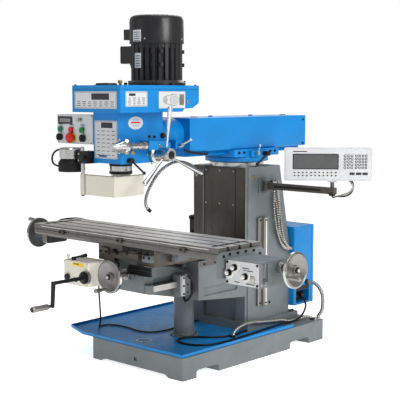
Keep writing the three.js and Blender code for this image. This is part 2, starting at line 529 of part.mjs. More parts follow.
add('power_feed_cord', cord(POWER_CORD, 4.5, 52), 'cable', 0, 0.7);
add('mains_cable', cord(MAINS_CABLE, 5.5, 64), 'cable', 0, 0.7);
add('pump_conduit', cord([[CABINET.w + 11, 1120, 316], [266, 1120, 319], [304, 1118, 305],
  [334, 1117, 268], [343, 1116, 215], [336, 1115, 165], [316, 1114, 135],
  [312, 1114, BASE.top + GAP + 2.4]], 10, 18), 'steel', 0.6, 0.5);

export default machine;
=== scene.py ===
"""Looks of the floor-standing milling machine: finishes, fittings, cords, light and camera."""
import json
import math

import bmesh
import bpy
from mathutils import Matrix, Vector


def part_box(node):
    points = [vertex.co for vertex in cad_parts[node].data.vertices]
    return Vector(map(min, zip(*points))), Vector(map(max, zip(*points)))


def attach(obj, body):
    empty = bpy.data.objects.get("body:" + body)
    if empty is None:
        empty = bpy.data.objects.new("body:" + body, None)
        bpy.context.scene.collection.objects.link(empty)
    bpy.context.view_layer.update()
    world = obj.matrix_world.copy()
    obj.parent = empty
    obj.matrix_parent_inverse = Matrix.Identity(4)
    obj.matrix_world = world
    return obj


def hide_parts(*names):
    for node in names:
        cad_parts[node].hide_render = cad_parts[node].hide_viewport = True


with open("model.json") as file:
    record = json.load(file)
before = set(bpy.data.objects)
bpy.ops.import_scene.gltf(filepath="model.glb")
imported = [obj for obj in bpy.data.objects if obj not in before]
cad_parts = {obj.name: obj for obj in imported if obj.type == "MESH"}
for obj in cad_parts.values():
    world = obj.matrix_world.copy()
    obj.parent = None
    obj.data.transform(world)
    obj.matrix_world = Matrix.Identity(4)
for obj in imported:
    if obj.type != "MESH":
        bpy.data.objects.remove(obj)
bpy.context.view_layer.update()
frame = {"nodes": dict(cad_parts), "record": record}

NODES = frame["nodes"]

# ---- the machine's drawing frame ----------------------------------------------------
# Drawing points are in millimetres: x from the base's centre plane, y from its front, z from the floor.
BASE_LOW, BASE_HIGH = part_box("base_casting")
CENTRE_X = (BASE_LOW.x + BASE_HIGH.x) / 2
LEFT, RIGHT = Vector((-1, 0, 0)), Vector((1, 0, 0))
FRONT, BACK = Vector((0, -1, 0)), Vector((0, 1, 0))
UP, DOWN = Vector((0, 0, 1)), Vector((0, 0, -1))
MM = 0.001


def at(x, y, z):
    """A drawing point in the row frame, in metres."""
    return Vector((CENTRE_X + x * MM, BASE_LOW.y + y * MM, z * MM))


def facing(origin, normal, up=UP):
    """The matrix of a flat place: its z is the normal, its y is up, and its x is to the right."""
    right = up.cross(normal).normalized()
    turn = Matrix((right, normal.cross(right), normal)).transposed().to_4x4()
    return Matrix.Translation(origin) @ turn


def shifted(place, x=0.0, y=0.0, z=0.0):
    """The same place moved along its own axes, in millimetres."""
    return place @ Matrix.Translation((x * MM, y * MM, z * MM))


def upright(x, y, z):
    """A place at a drawing point that looks up."""
    return Matrix.Translation(at(x, y, z))


def flat(x, y, z, normal, up=UP):
    """A place at a drawing point that looks the given way."""
    return facing(at(x, y, z), normal, up)


def front_plane(depth):
    """A forward-looking place on the floor's centre line, at a depth in the row frame."""
    return facing(Vector((CENTRE_X, depth, 0)), FRONT)


def in_front_of(node, depth):
    """A forward-looking place at the middle of a CAD node, at a depth in the row frame."""
    low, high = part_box(node)
    return facing(Vector(((low.x + high.x) / 2, depth, (low.z + high.z) / 2)), FRONT)


def around(place, degrees, radius):
    """The place turned about its normal and then moved outward, in millimetres."""
    return shifted(place @ Matrix.Rotation(math.radians(degrees), 4, "Z"), radius)


def circle(place, radius, count, first=0, sweep=360):
    """Evenly spaced places on a circle, or on the part of it that sweep says, in degrees."""
    return [around(place, first + sweep * i / count, radius) for i in range(count)]


def linked(name, data):
    """A new object in the scene."""
    made = bpy.data.objects.new(name, data)
    bpy.context.scene.collection.objects.link(made)
    return made


# ---- camera and studio --------------------------------------------------------------
CAMERA_PLACE = (3.446, -3.7375, 1.372)
CAMERA_ANGLES = (83.9, 0, 42.4)
LIGHT_TARGET = Vector((0, 0, 0.9))
LIGHTS = (
    ("key", (4.8, -0.6, 3.2), 170, 2.2),
    ("top", (0.6, -0.4, 4.6), 70, 2.6),
    ("fill", (-2.6, -4.4, 2.4), 14, 3.0),
    ("rim", (-2.5, 3.8, 3.4), 45, 2.5),
)
FLOOR_HALF = 20000
FLOOR_DEPTH = 20


def make_camera():
    data = bpy.data.cameras.new("camera")
    data.lens = 90
    data.sensor_width = 36
    camera = linked("camera", data)
    camera.location = CAMERA_PLACE
    camera.rotation_euler = [math.radians(angle) for angle in CAMERA_ANGLES]
    bpy.context.scene.camera = camera


def soft_light(name, place, power, size):
    data = bpy.data.lights.new(name, "AREA")
    data.energy = power
    data.size = size
    light = linked(name, data)
    light.location = place
    light.rotation_euler = (LIGHT_TARGET - Vector(place)).to_track_quat("-Z", "Y").to_euler()


def make_studio():
    world = bpy.data.worlds.new("studio")
    world.use_nodes = True
    tree = world.node_tree
    soft = tree.nodes["Background"]
    soft.inputs["Color"].default_value = (1, 1, 1, 1)
    soft.inputs["Strength"].default_value = 0.34
    paper = tree.nodes.new("ShaderNodeBackground")
    paper.inputs["Color"].default_value = (1, 1, 1, 1)
    seen = tree.nodes.new("ShaderNodeLightPath")
    blend = tree.nodes.new("ShaderNodeMixShader")
    tree.links.new(seen.outputs["Is Camera Ray"], blend.inputs[0])
    tree.links.new(soft.outputs[0], blend.inputs[1])
    tree.links.new(paper.outputs[0], blend.inputs[2])
    tree.links.new(blend.outputs[0], tree.nodes["World Output"].inputs["Surface"])
    bpy.context.scene.world = world
    bpy.context.scene.view_settings.view_transform = "Standard"
    for light in LIGHTS:
        soft_light(*light)


# ---- procedural materials -----------------------------------------------------------
def srgb(red, green, blue):
    """A screen colour from 0 to 255 as the linear colour that a shader reads."""
    shares = [value / 255 for value in (red, green, blue)]
    linear = [s / 12.92 if s <= 0.04045 else ((s + 0.055) / 1.055) ** 2.4 for s in shares]
    return (*linear, 1)


class Shader:
    """A Principled material and the pattern nodes that feed it."""

    def __init__(self, name):
        self.material = bpy.data.materials.new(name)
        self.material.use_nodes = True
        self.tree = self.material.node_tree
        self.surface = self.tree.nodes["Principled BSDF"]
        self.where = self.node("ShaderNodeTexCoord").outputs["Object"]

    def node(self, kind, sockets=None, **settings):
        made = self.tree.nodes.new(kind)
        for key, value in settings.items():
            setattr(made, key, value)
        for key, value in (sockets or {}).items():
            self.plug(value, made.inputs[key])
        return made

    def plug(self, value, socket):
        """Links an output, or sets a plain number or colour."""
        if isinstance(value, bpy.types.NodeSocket):
            self.tree.links.new(value, socket)
        else:
            socket.default_value = value

    def noise(self, scale, detail=3.0, stretch=(1, 1, 1)):
        place = self.node("ShaderNodeMapping", {"Vector": self.where, "Scale": stretch})
        sockets = {"Vector": place.outputs[0], "Scale": scale, "Detail": detail}
        return self.node("ShaderNodeTexNoise", sockets).outputs["Fac"]

    def spread(self, value, low, high, out_low=0.0, out_high=1.0):
        made = self.node("ShaderNodeMapRange", {
            "Value": value, "From Min": low, "From Max": high, "To Min": out_low, "To Max": out_high,
        })
        return made.outputs[0]

    def patches(self, scale, detail, low, high, out_low=0.0, out_high=1.0, stretch=(1, 1, 1)):
        """Noise whose values from low to high are spread over the wanted range."""
        return self.spread(self.noise(scale, detail, stretch), low, high, out_low, out_high)

    def times(self, one, other):
        return self.node("ShaderNodeMath", {0: one, 1: other}, operation="MULTIPLY").outputs[0]

    def mix(self, factor, first, second):
        made = self.node("ShaderNodeMix", {"Factor": factor}, data_type="RGBA")
        self.plug(first, made.inputs[6])
        self.plug(second, made.inputs[7])
        return made.outputs[2]

    def rounded(self, radius):
        return self.node("ShaderNodeBevel", {"Radius": radius}, samples=4).outputs[0]

    def edges(self, normal):
        """1 on edges and 0 on flat faces, from how far the rounded normal leans."""
        flat = self.node("ShaderNodeNewGeometry").outputs["Normal"]
        lean = self.node("ShaderNodeVectorMath", {0: normal, 1: flat}, operation="DOT_PRODUCT")
        return self.spread(lean.outputs["Value"], 0.99, 0.85)

    def upward(self):
        """1 on faces that look up, where dust and oil settle and where bare metal is painted lighter as top
        light.
        """
        normal = self.node("ShaderNodeNewGeometry").outputs["Normal"]
        split = self.node("ShaderNodeSeparateXYZ", {0: normal})
        return self.spread(split.outputs["Z"], 0.6, 0.95)

    def bump(self, height, strength, normal=None, distance=0.001):
        sockets = {"Height": height, "Strength": strength, "Distance": distance}
        if normal is not None:
            sockets["Normal"] = normal
        return self.node("ShaderNodeBump", sockets).outputs[0]

    def give(self, **sockets):
        for key, value in sockets.items():
            self.plug(value, self.surface.inputs[key.replace("_", " ")])
        return self.material


def shade(colour, factor):
    """The same colour, lighter or darker."""
    return (*[min(1.0, value * factor) for value in colour[:3]], 1)


def painted(name, colour, roughness=0.32, peel=0.25, wear=0.5, coat=0.35, dust=0.25, under=(96, 92, 88)):
    """Enamel on iron or sheet: orange peel, uneven gloss, rubbed edges and a film of dust on top."""
    s = Shader(name)
    rounded = s.rounded(0.0022)
    tone = s.mix(s.patches(4.5, 3.0, 0.35, 0.65), shade(colour, 0.93), shade(colour, 1.07))
    speckled = s.mix(s.times(s.patches(160, 5, 0.62, 0.78), 0.35), tone, shade(colour, 0.7))
    film = s.times(s.times(s.upward(), s.patches(9, 6, 0.3, 0.75)), dust)
    dusty = s.mix(film, speckled, srgb(176, 182, 188))
    rubbed = s.times(s.times(s.edges(rounded), s.patches(38, 6, 0.52, 0.66)), wear)
    final = s.mix(rubbed, dusty, srgb(*under))
    gloss = s.patches(22, 4, 0.3, 0.7, roughness - 0.06, roughness + 0.12)
    coarse = s.bump(s.noise(420, 2), peel, rounded, 0.0004)
    return s.give(Base_Color=final, Roughness=gloss, Normal=coarse, Coat_Weight=coat, Coat_Roughness=0.18,
                  Specular_IOR_Level=0.3)


def cast_paint(name, colour, roughness=0.5):
    """Thick satin paint over rough cast iron."""
    s = Shader(name)
    rounded = s.rounded(0.003)
    tone = s.mix(s.patches(3.2, 3.0, 0.35, 0.65), shade(colour, 0.9), shade(colour, 1.1))
    grimy = s.mix(s.times(s.patches(14, 7, 0.5, 0.8), 0.4), tone, shade(colour, 0.62))
    rubbed = s.times(s.times(s.edges(rounded), s.patches(30, 6, 0.5, 0.66)), 0.6)
    final = s.mix(rubbed, grimy, srgb(150, 150, 148))
    lumps = s.bump(s.noise(36, 4), 0.35, rounded, 0.002)
    grain = s.bump(s.noise(380, 3), 0.3, lumps, 0.0005)
    gloss = s.patches(18, 4, 0.3, 0.7, roughness - 0.1, roughness + 0.12)
    return s.give(Base_Color=final, Roughness=gloss, Normal=grain, Coat_Weight=0.12, Coat_Roughness=0.3)


def bare_metal(name, colour, roughness=0.3, lay=(1, 1, 1), stain=0.3, metallic=1.0, grain=0.15, side_shade=1.0):
    """Machined metal: fine lines along the cut, scattered scratches, oil stains and brighter edges; faces
    that look up are painted lighter and side faces darker, a painted top light and side shade.
    """
    s = Shader(name)
    rounded = s.rounded(0.0012)
    lines = s.noise(260, 6, lay)
    streaks = s.spread(lines, 0.3, 0.7)
    # Painted top light and side shade: faces that look up are drawn lighter, side faces darker.
    top = s.mix(streaks, shade(colour, 0.8), shade(colour, 1.12))
    side = s.mix(streaks, shade(colour, 0.8 * side_shade), shade(colour, side_shade))
    top_light_side_shade = s.mix(s.upward(), side, top)
    oily = s.mix(s.times(s.patches(11, 7, 0.48, 0.72), stain), top_light_side_shade, srgb(70, 62, 50))
    bright = s.mix(s.times(s.edges(rounded), 0.5), oily, shade(colour, 1.35))
    gloss = s.patches(30, 5, 0.3, 0.7, max(0.08, roughness - 0.08), roughness + 0.14)
    cut = s.bump(lines, grain, rounded, 0.0003)
    return s.give(Base_Color=bright, Roughness=gloss, Normal=cut, Metallic=metallic)


def moulded(name, colour, roughness=0.42, grain=0.2, scuffs=0.25):
    """Moulded plastic or rubber with a fine grain and light scuffs."""
    s = Shader(name)
    rounded = s.rounded(0.0012)
    tone = s.mix(s.patches(12, 3.0, 0.35, 0.65), shade(colour, 0.9), shade(colour, 1.12))
    scuffed = s.mix(s.times(s.patches(70, 6, 0.6, 0.75, stretch=(1, 4, 1)), scuffs), tone, shade(colour, 1.8))
    gloss = s.patches(40, 4, 0.3, 0.7, roughness - 0.06, roughness + 0.12)
    skin = s.bump(s.noise(900, 2), grain, rounded, 0.0002)
    return s.give(Base_Color=scuffed, Roughness=gloss, Normal=skin, Specular_IOR_Level=0.32)


def clear_sheet(name, colour):
    """Hazy see-through plastic with rubbed patches."""
    s = Shader(name)
    haze = s.patches(9, 4, 0.35, 0.7, 0.12, 0.22)
    tone = s.mix(s.patches(5, 4, 0.35, 0.7), colour, shade(colour, 0.95))
    fine = s.bump(s.noise(60, 2), 0.03, None, 0.0003)
    return s.give(Base_Color=tone, Roughness=haze, Normal=fine, Transmission_Weight=0.35, IOR=1.25)


def screen_glass(name, colour):
    """Dark display window with a faint grain and finger smears."""
    s = Shader(name)
    tone = s.mix(s.patches(25, 3, 0.3, 0.7), colour, shade(colour, 1.25))
    smear = s.patches(18, 5, 0.4, 0.7, 0.08, 0.26, (1, 3, 1))
    skin = s.bump(s.noise(500, 2), 0.05, None, 0.0002)
    return s.give(Base_Color=tone, Roughness=smear, Normal=skin, Coat_Weight=0.6, Coat_Roughness=0.05)


MATERIALS = {
    "machine_blue": painted("machine_blue", srgb(0, 124, 194), 0.4, 0.2, 0.5, 0.06, 0.04),
    "cast_grey": cast_paint("cast_grey", srgb(106, 113, 115)),
    "motor_black": painted("motor_black", srgb(30, 30, 32), 0.34, 0.3, 0.25, 0.2, 0.12),
    "black_plastic": moulded("black_plastic", srgb(17, 17, 18), 0.45, 0.2, 0.12),
    "bright_steel": bare_metal("bright_steel", srgb(206, 206, 204), 0.2, (1, 1, 3), 0.15),
    "wheel_alloy": bare_metal("wheel_alloy", srgb(150, 148, 144), 0.34, (1, 1, 1), 0.25, 0.95),
    # The last number darkens side faces to about a quarter: painted side shade, partly also a darker unground
    # finish on the sides.
    "ground_iron": bare_metal("ground_iron", srgb(208, 204, 198), 0.42, (0.08, 3, 1), 0.3, 0.6, 0.15, 0.24),
    "dark_iron": bare_metal("dark_iron", srgb(104, 99, 92), 0.46, (0.3, 2, 1), 0.5, 0.7),
    "panel_grey": painted("panel_grey", srgb(202, 204, 205), 0.4, 0.12, 0.3, 0.15, 0.1),
    "green_button": moulded("green_button", srgb(20, 122, 62), 0.3),
    "red_button": moulded("red_button", srgb(206, 26, 26), 0.3),
    "beige_shell": painted("beige_shell", srgb(228, 224, 210), 0.4, 0.35, 0.25, 0.15, 0.1),
    "guard_sheet": clear_sheet("guard_sheet", srgb(232, 228, 214)),
    "metal_hose": bare_metal("metal_hose", srgb(186, 182, 174), 0.3, (1, 1, 1), 0.25),
    "black_cable": moulded("black_cable", srgb(14, 14, 15), 0.5, 0.3, 0.1),
    "dark_sheet": bare_metal("dark_sheet", srgb(84, 80, 76), 0.36, (4, 1, 0.1), 0.35, 0.8),
}
STEEL = MATERIALS["bright_steel"]
BLACK = MATERIALS["black_plastic"]
PANEL = MATERIALS["panel_grey"]
CAST = MATERIALS["cast_grey"]
MOTOR = MATERIALS["motor_black"]
HOSE = MATERIALS["metal_hose"]
CABLE = MATERIALS["black_cable"]
ALLOY = MATERIALS["wheel_alloy"]
IRON = MATERIALS["dark_iron"]
BLUE = MATERIALS["machine_blue"]
GROUND = MATERIALS["ground_iron"]
DARK = MATERIALS["dark_sheet"]
BEIGE = MATERIALS["beige_shell"]
RED = MATERIALS["red_button"]
GLASS = screen_glass("display_window", srgb(66, 68, 68))
YELLOW = moulded("signal_yellow", srgb(238, 196, 30), 0.4)
# Dark print colour, also laid on as painted shade in screw sockets, hose grooves, vent slots, strainer holes
# and under louvres.
INK_AND_SHADE = moulded("print_ink_and_painted_shade", srgb(44, 46, 50), 0.5)
PALE_RAIL = bare_metal("pale_rail", srgb(206, 204, 198), 0.4, (0.1, 2, 1), 0.15, 0.7)
PLATE = painted("plate_white", srgb(232, 232, 228), 0.4, 0.08, 0.2, 0.15, 0.08)
PRINT_BLUE = moulded("print_blue", srgb(48, 96, 150), 0.5)
BRASS = bare_metal("brass", srgb(196, 160, 90), 0.3)


def smooth_group():
    """Geometry nodes that weld a faceted casting and shade its round faces smooth."""
    group = bpy.data.node_groups.new("weld_and_smooth", "GeometryNodeTree")
    group.interface.new_socket("Geometry", in_out="INPUT", socket_type="NodeSocketGeometry")
    group.interface.new_socket("Geometry", in_out="OUTPUT", socket_type="NodeSocketGeometry")
    start = group.nodes.new("NodeGroupInput")
    end = group.nodes.new("NodeGroupOutput")
    weld = group.nodes.new("GeometryNodeMergeByDistance")
    weld.inputs["Distance"].default_value = 0.00001
    angle = group.nodes.new("GeometryNodeInputMeshEdgeAngle")
    gentle = group.nodes.new("FunctionNodeCompare")
    gentle.operation = "LESS_THAN"
    gentle.inputs[1].default_value = math.radians(32)
    faces = group.nodes.new("GeometryNodeSetShadeSmooth")
    edges = group.nodes.new("GeometryNodeSetShadeSmooth")
    edges.domain = "EDGE"
    group.links.new(start.outputs[0], weld.inputs[0])
    group.links.new(weld.outputs[0], faces.inputs["Geometry"])
    group.links.new(faces.outputs[0], edges.inputs["Geometry"])
    group.links.new(angle.outputs[0], gentle.inputs[0])
    group.links.new(gentle.outputs[0], edges.inputs["Shade Smooth"])
    group.links.new(edges.outputs[0], end.inputs[0])
    return group


def dress_castings():
    """Every CAD node gets its slot's finish and smooth round faces."""
    group = smooth_group()
    for subpart in frame["record"]["subparts"]:
        node = NODES[subpart["node"]]
        node.data.materials.clear()
        node.data.materials.append(MATERIALS[subpart["material_slot"]])
        node.modifiers.new("smooth", "NODES").node_group = group


# ---- shapes -------------------------------------------------------------------------
def rounded_outline(width, height, radius, steps=5):
    """A centred rectangle with round corners, in millimetres."""
    outline = []
    for corner, (x, y) in enumerate([(1, 1), (-1, 1), (-1, -1), (1, -1)]):
        for i in range(steps + 1):
            turn = math.radians(90) * (corner + i / steps)
            outline.append((x * (width / 2 - radius) + radius * math.cos(turn),
                            y * (height / 2 - radius) + radius * math.sin(turn)))
    return outline


def oval_outline(width, height, steps=36):
    turns = [2 * math.pi * i / steps for i in range(steps)]
    return [(width / 2 * math.cos(turn), height / 2 * math.sin(turn)) for turn in turns]


class Piece:
    """Collects shapes in drawing millimetres into one mesh; each shape keeps its own material."""

    def __init__(self, name):
        self.name = name
        self.mesh = bmesh.new()
        self.materials = []

    def _keep(self, faces, material):
        if material not in self.materials:
            self.materials.append(material)
        for face in faces:
            face.material_index = self.materials.index(material)

    def _vertex(self, place, point):
        return self.mesh.verts.new(place @ (Vector(point) * MM))

    def slab(self, outline, low, high, place, material):
        """A flat outline raised from low to high along the place's normal."""
        rings = [[self._vertex(place, (x, y, z)) for x, y in outline] for z in (low, high)]
        faces = [self.mesh.faces.new(rings[0][::-1]), self.mesh.faces.new(rings[1])]
        for i in range(len(outline)):
            j = (i + 1) % len(outline)
            faces.append(self.mesh.faces.new((rings[0][i], rings[0][j], rings[1][j], rings[1][i])))
        self._keep(faces, material)

    def plate(self, size, low, high, place, material, x=0.0, y=0.0):
        """A slab with round corners, moved on its face; size is width, height, radius and corner steps."""
        self.slab(rounded_outline(*size), low, high, shifted(place, x, y), material)

    def lathe(self, profile, place, material, steps=32):
        """(radius, height) pairs turned about the place's normal; an open profile is closed to the axis."""
        if profile[0] != profile[-1]:
            ends = [(0, profile[0][1]), (0, profile[-1][1])]
            profile = list(dict.fromkeys([ends[0], *profile, ends[1]]))
        rings = []
        for radius, height in profile:
            if radius == 0:
                rings.append([self._vertex(place, (0, 0, height))] * steps)
                continue
            turns = [2 * math.pi * i / steps for i in range(steps)]
            rings.append([self._vertex(place, (radius * math.cos(t), radius * math.sin(t), height))
                          for t in turns])
        faces = []
        for low, high in zip(rings, rings[1:]):
            for i in range(steps):
                j = (i + 1) % steps
                corners = list(dict.fromkeys((low[i], low[j], high[j], high[i])))
                if len(corners) > 2:
                    faces.append(self.mesh.faces.new(corners))
        self._keep(faces, material)

    def tube(self, points, radii, material, sides=12):
        """A round bar through points in the row frame, with a radius in millimetres at each."""
        across = None
        rings = []
        for i, point in enumerate(points):
            along = (points[min(i + 1, len(points) - 1)] - points[max(i - 1, 0)]).normalized()
            start = across if across is not None else along.orthogonal()
            across = (start - along * start.dot(along)).normalized()
            other = along.cross(across)
            turns = [2 * math.pi * k / sides for k in range(sides)]
            spokes = [across * math.cos(t) + other * math.sin(t) for t in turns]
            rings.append([self.mesh.verts.new(point + radii[i] * MM * spoke) for spoke in spokes])
        faces = [self.mesh.faces.new(rings[0][::-1]), self.mesh.faces.new(rings[-1])]
        for low, high in zip(rings, rings[1:]):
            for k in range(sides):
                j = (k + 1) % sides
                faces.append(self.mesh.faces.new((low[k], low[j], high[j], high[k])))
        self._keep(faces, material)

    def cable(self, stations, radius, material, steps=8):
        """A round cable on a smooth curve through drawing points."""
        route = smooth_route([at(*station) for station in stations], steps)
        self.tube(route, [radius] * len(route), material)

    def cap_screw(self, place, radius, material, height=None):
        """Socket head cap screw, its head resting on the place."""
        h = height or radius * 0.9
        self.lathe([(radius, -0.3), (radius, h * 0.85), (radius * 0.86, h), (radius * 0.55, h),
                    (radius * 0.5, h * 0.35)], place, material, 24)
        # A dark hexagon at the bottom of the socket: painted shade of the socket's depth.
        self.lathe([(radius * 0.48, h * 0.3), (radius * 0.48, h * 0.42)], place, INK_AND_SHADE, 6)

    def ride(self, body, bevel=0.3, sharp=35):
        """Closes the mesh, rounds its edges and fastens it to a CAD body."""
        mesh = bpy.data.meshes.new(self.name)
        bmesh.ops.recalc_face_normals(self.mesh, faces=self.mesh.faces)
        for face in self.mesh.faces:
            face.smooth = True
        for edge in self.mesh.edges:
            edge.smooth = len(edge.link_faces) == 2 and edge.calc_face_angle(0) < math.radians(sharp)
        self.mesh.to_mesh(mesh)
        self.mesh.free()
        for material in self.materials:
            mesh.materials.append(material)
        made = linked(self.name, mesh)
        if bevel:
            soften = made.modifiers.new("soften", "BEVEL")
            soften.width = bevel * MM
            soften.segments = 2
            soften.limit_method = "ANGLE"
            soften.angle_limit = math.radians(sharp)
        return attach(made, body)


# ---- cords --------------------------------------------------------------------------
def smooth_route(stations, steps=8):
    """Points of the centripetal Catmull-Rom curve through the stations."""
    first = 2 * stations[0] - stations[1]
    last = 2 * stations[-1] - stations[-2]
    route = [first, *stations, last]
    points = []
    for a, b, c, d in zip(route, route[1:], route[2:], route[3:]):
        before, across, after = ((v - u).length ** 0.5 for u, v in ((a, b), (b, c), (c, d)))
        leave = (c - b) + ((b - a) / before - (c - a) / (before + across)) * across
        arrive = (c - b) + ((d - c) / after - (d - b) / (across + after)) * across
        for i in range(steps):
            t = i / steps
            points.append(b * (2 * t**3 - 3 * t**2 + 1) + c * (3 * t**2 - 2 * t**3)
                          + leave * (t**3 - 2 * t**2 + t) + arrive * (t**3 - t**2))
    return [*points, stations[-1]]


LIE = 121.2                            # height of a cord's centre line on the tray
POWER_ROUTE = [
    (-275, -49.6, 470), (-275, -28, 468), (-277, -4, 452), (-282, 12, 410), (-290, 22, 350),
    (-305, 40, 280), (-332, 68, 210), (-372, 100, 158), (-414, 132, 127), (-446, 168, LIE),
    (-436, 214, LIE), (-380, 240, LIE), (-300, 242, LIE), (-215, 228, LIE), (-150, 246, LIE),
    (-118, 310, LIE), (-120, 400, LIE), (-150, 500, LIE), (-148, 570, LIE), (-146, 621.6, LIE),
]
MAINS_ROUTE = [
    (185.4, 1085, 236), (212, 1085, 235), (240, 1082, 222), (262, 1066, 192), (268, 1034, 156),
    (264, 990, 130), (256, 930, LIE), (250, 850, LIE), (256, 740, LIE), (266, 620, LIE),
    (275, 500, LIE), (279, 380, LIE), (262, 270, LIE), (206, 206, LIE), (130, 198, LIE),
    (76, 228, LIE), (70, 285, LIE), (104, 338, LIE), (160, 382, LIE), (204, 440, LIE),
    (216, 520, LIE), (206, 585, LIE), (206, 620.8, LIE),
]


def lay_cord(name, node, route, radius):
    """A free cord on its CAD route, from its exit back into the machine."""
    points = smooth_route([at(*station) for station in route])
    curve = bpy.data.curves.new(name, "CURVE")
    curve.dimensions = "3D"
    curve.bevel_depth = radius * MM
    curve.bevel_resolution = 4
    curve.use_fill_caps = True
    line = curve.splines.new("POLY")
    line.points.add(len(points) - 1)
    for spot, point in zip(line.points, points):
        spot.co = (*point, 1)
    line.use_smooth = True
    made = linked(name, curve)
    curve.materials.append(CABLE)
    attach(made, "frame")
    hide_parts(node)


# ---- studio floor -------------------------------------------------------------------
def floor_material():
    s = Shader("studio_floor")
    tone = s.mix(s.noise(2.0), srgb(244, 244, 244), srgb(240, 240, 240))
    return s.give(Base_Color=tone, Roughness=0.9, Emission_Color=(1, 1, 1, 1), Emission_Strength=0.72)


def make_floor():
    material = floor_material()
    corners = [(-FLOOR_HALF, -FLOOR_HALF), (FLOOR_HALF, -FLOOR_HALF),
               (FLOOR_HALF, FLOOR_HALF), (-FLOOR_HALF, FLOOR_HALF)]
    floor = Piece("studio_floor")
    floor.slab(corners, -FLOOR_DEPTH, 0, Matrix.Identity(4), material)
    mesh = bpy.data.meshes.new("studio_floor")
    floor.mesh.to_mesh(mesh)
    mesh.materials.append(material)
    linked("studio_floor", mesh)


# ---- routes of the fixed hoses ------------------------------------------------------
COOLANT_ROUTE = [
    (-138, 612, 925), (-131, 572, 975), (-100, 416, 1014), (-70, 288, 994), (-50, 209, 958),
    (-35, 151, 912), (-25, 113, 870), (-15, 92, 833), (-5, 90, 806), (4, 104, 788),
]
SCALE_ROUTE = [
    (208, 850, 905), (206, 858, 850), (205, 872, 760), (205, 884, 660), (205, 905, 590),
    (206, 950, 535), (207, 1001, 515),
]
PUMP_ROUTE = [
    (236, 1120, 316), (266, 1120, 319), (304, 1118, 305), (334, 1117, 268), (343, 1116, 215),
    (336, 1115, 165), (316, 1114, 135), (312, 1114, 114.7),
]
TRAY_HOSE_ROUTE = [
    (285, 1096, 112.2), (283, 1090, 124), (264, 1064, 130), (246, 1010, 123), (238, 940, 124),
    (235, 880, 138), (234, 800, 146), (233, 710, 156), (232, 610, 167), (232, 560, 165),
    (233, 515, 155), (234, 485, 138), (235, 470, 116.2),
]

HOUSING_LOW, HOUSING_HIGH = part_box("gear_housing")

# Faces and axes of the CAD parts, in drawing millimetres.
MOTOR_AXIS = (0, 161)
SPINDLE_AXIS = (0, -88)
TURRET_AXIS = (0, 775)
SCREW_AXIS = (0, 354)
ROD_AXIS = (-135, -212)
READOUT_PIVOT = (640, 764)
FEED_HUB = (112.6, 35, 1079)
HOUSING_TOP = 1409
HEAD_SIDE_X = 89
BOSS_X = 112
COLUMN_SIDE_X = 189
KNEE_FRONT_Y = -40
SADDLE_FRONT_Y = -62
TABLE_FRONT_Y = -110
GEARBOX_FRONT_Y = -87
TRAY_TOP = 115.3
GEAR_KNOBS = ("gear_knob_a", "gear_knob_b", "gear_knob_c")
FOOT_RING_TOP = TRAY_TOP + 5
READOUT_YAW = math.radians(38)
THIN = 0.25                            # thickness of a printed mark and of the gearbox plate
SHEET = 1.2                            # thickness of a label plate


# ---- small fittings used in several places ------------------------------------------
def ring(piece, place, inner, outer, low, high, material, steps=32):
    profile = [(inner, low), (outer, low), (outer, high), (inner, high), (inner, low)]
    piece.lathe(profile, place, material, steps)


def ticks(piece, place, radius, length, count, material, sweep=360, first=0):
    """Short printed lines that point at the middle of a dial."""
    for spot in circle(place, radius, count, first, sweep):
        piece.plate((length, 0.9, 0.3, 2), 0, THIN, spot, material)


def collar(piece, place, radius, low, high, marks=50):
    """A graduated sleeve: a bright band with a fine line every few degrees and a longer one every fifth."""
    ring(piece, place, radius, radius + 1.0, low, high, STEEL, 48)
    for i, spot in enumerate(circle(place, radius + 1.0, marks)):
        reach = 0.75 if i % 5 == 0 else 0.45
        piece.plate((0.3, 0.7, 0.1, 1), low, low + (high - low) * reach, spot, INK_AND_SHADE)


def chart(piece, place, width, height, rows, columns, band):
    """A printed metal plate with no lettering: frame line, heading band and a grid of plain marks.

    The band is its share of the width, its height and its sideways shift as a share of the width.
    """
    piece.plate((width, height, 3.5), 0, SHEET, place, PANEL)
    for side in (-1, 1):
        piece.plate((width - 8, 1.3, 0.5, 2), SHEET, 1.4, place, INK_AND_SHADE, y=side * (height / 2 - 4))
        piece.plate((1.3, height - 8, 0.5, 2), SHEET, 1.4, place, INK_AND_SHADE, side * (width / 2 - 4))
    top = height / 2 - 9
    band_share, band_height, band_shift = band
    piece.plate((width * band_share, band_height, 2), SHEET, 1.45, place, INK_AND_SHADE, width * band_shift,
                top - band_height / 2)
    top -= band_height + 5
    pitch_x = (width - 20) / columns
    pitch_y = (top + height / 2 - 8) / rows
    for row in range(rows):
        for column in range(columns):
            share = 0.45 + 0.3 * math.sin(2.3 * row + 1.7 * column) ** 2
            mark = (pitch_x * share, min(3.0, pitch_y * 0.4), 0.5, 2)
            piece.plate(mark, SHEET, 1.35, place, INK_AND_SHADE, (column + 0.5) * pitch_x - (width - 20) / 2,
                        top - (row + 0.5) * pitch_y)


def corner_screws(piece, place, width, height, radius, material):
    for x in (-1, 1):
        for y in (-1, 1):
            piece.cap_screw(shifted(place, x=x * width / 2, y=y * height / 2), radius, material)


def curved_label(piece, place, radius, middle, half, low, high, material, lift=0.6, steps=10):
    """A thin label bent round a drum; middle and half are its angles in degrees."""
    angles = [math.radians(middle - half + 2 * half * i / steps) for i in range(steps + 1)]
    outline = [((radius + lift) * math.cos(a), (radius + lift) * math.sin(a)) for a in angles]
    outline += [(radius * math.cos(a), radius * math.sin(a)) for a in reversed(angles)]
    piece.slab(outline, low, high, place, material)


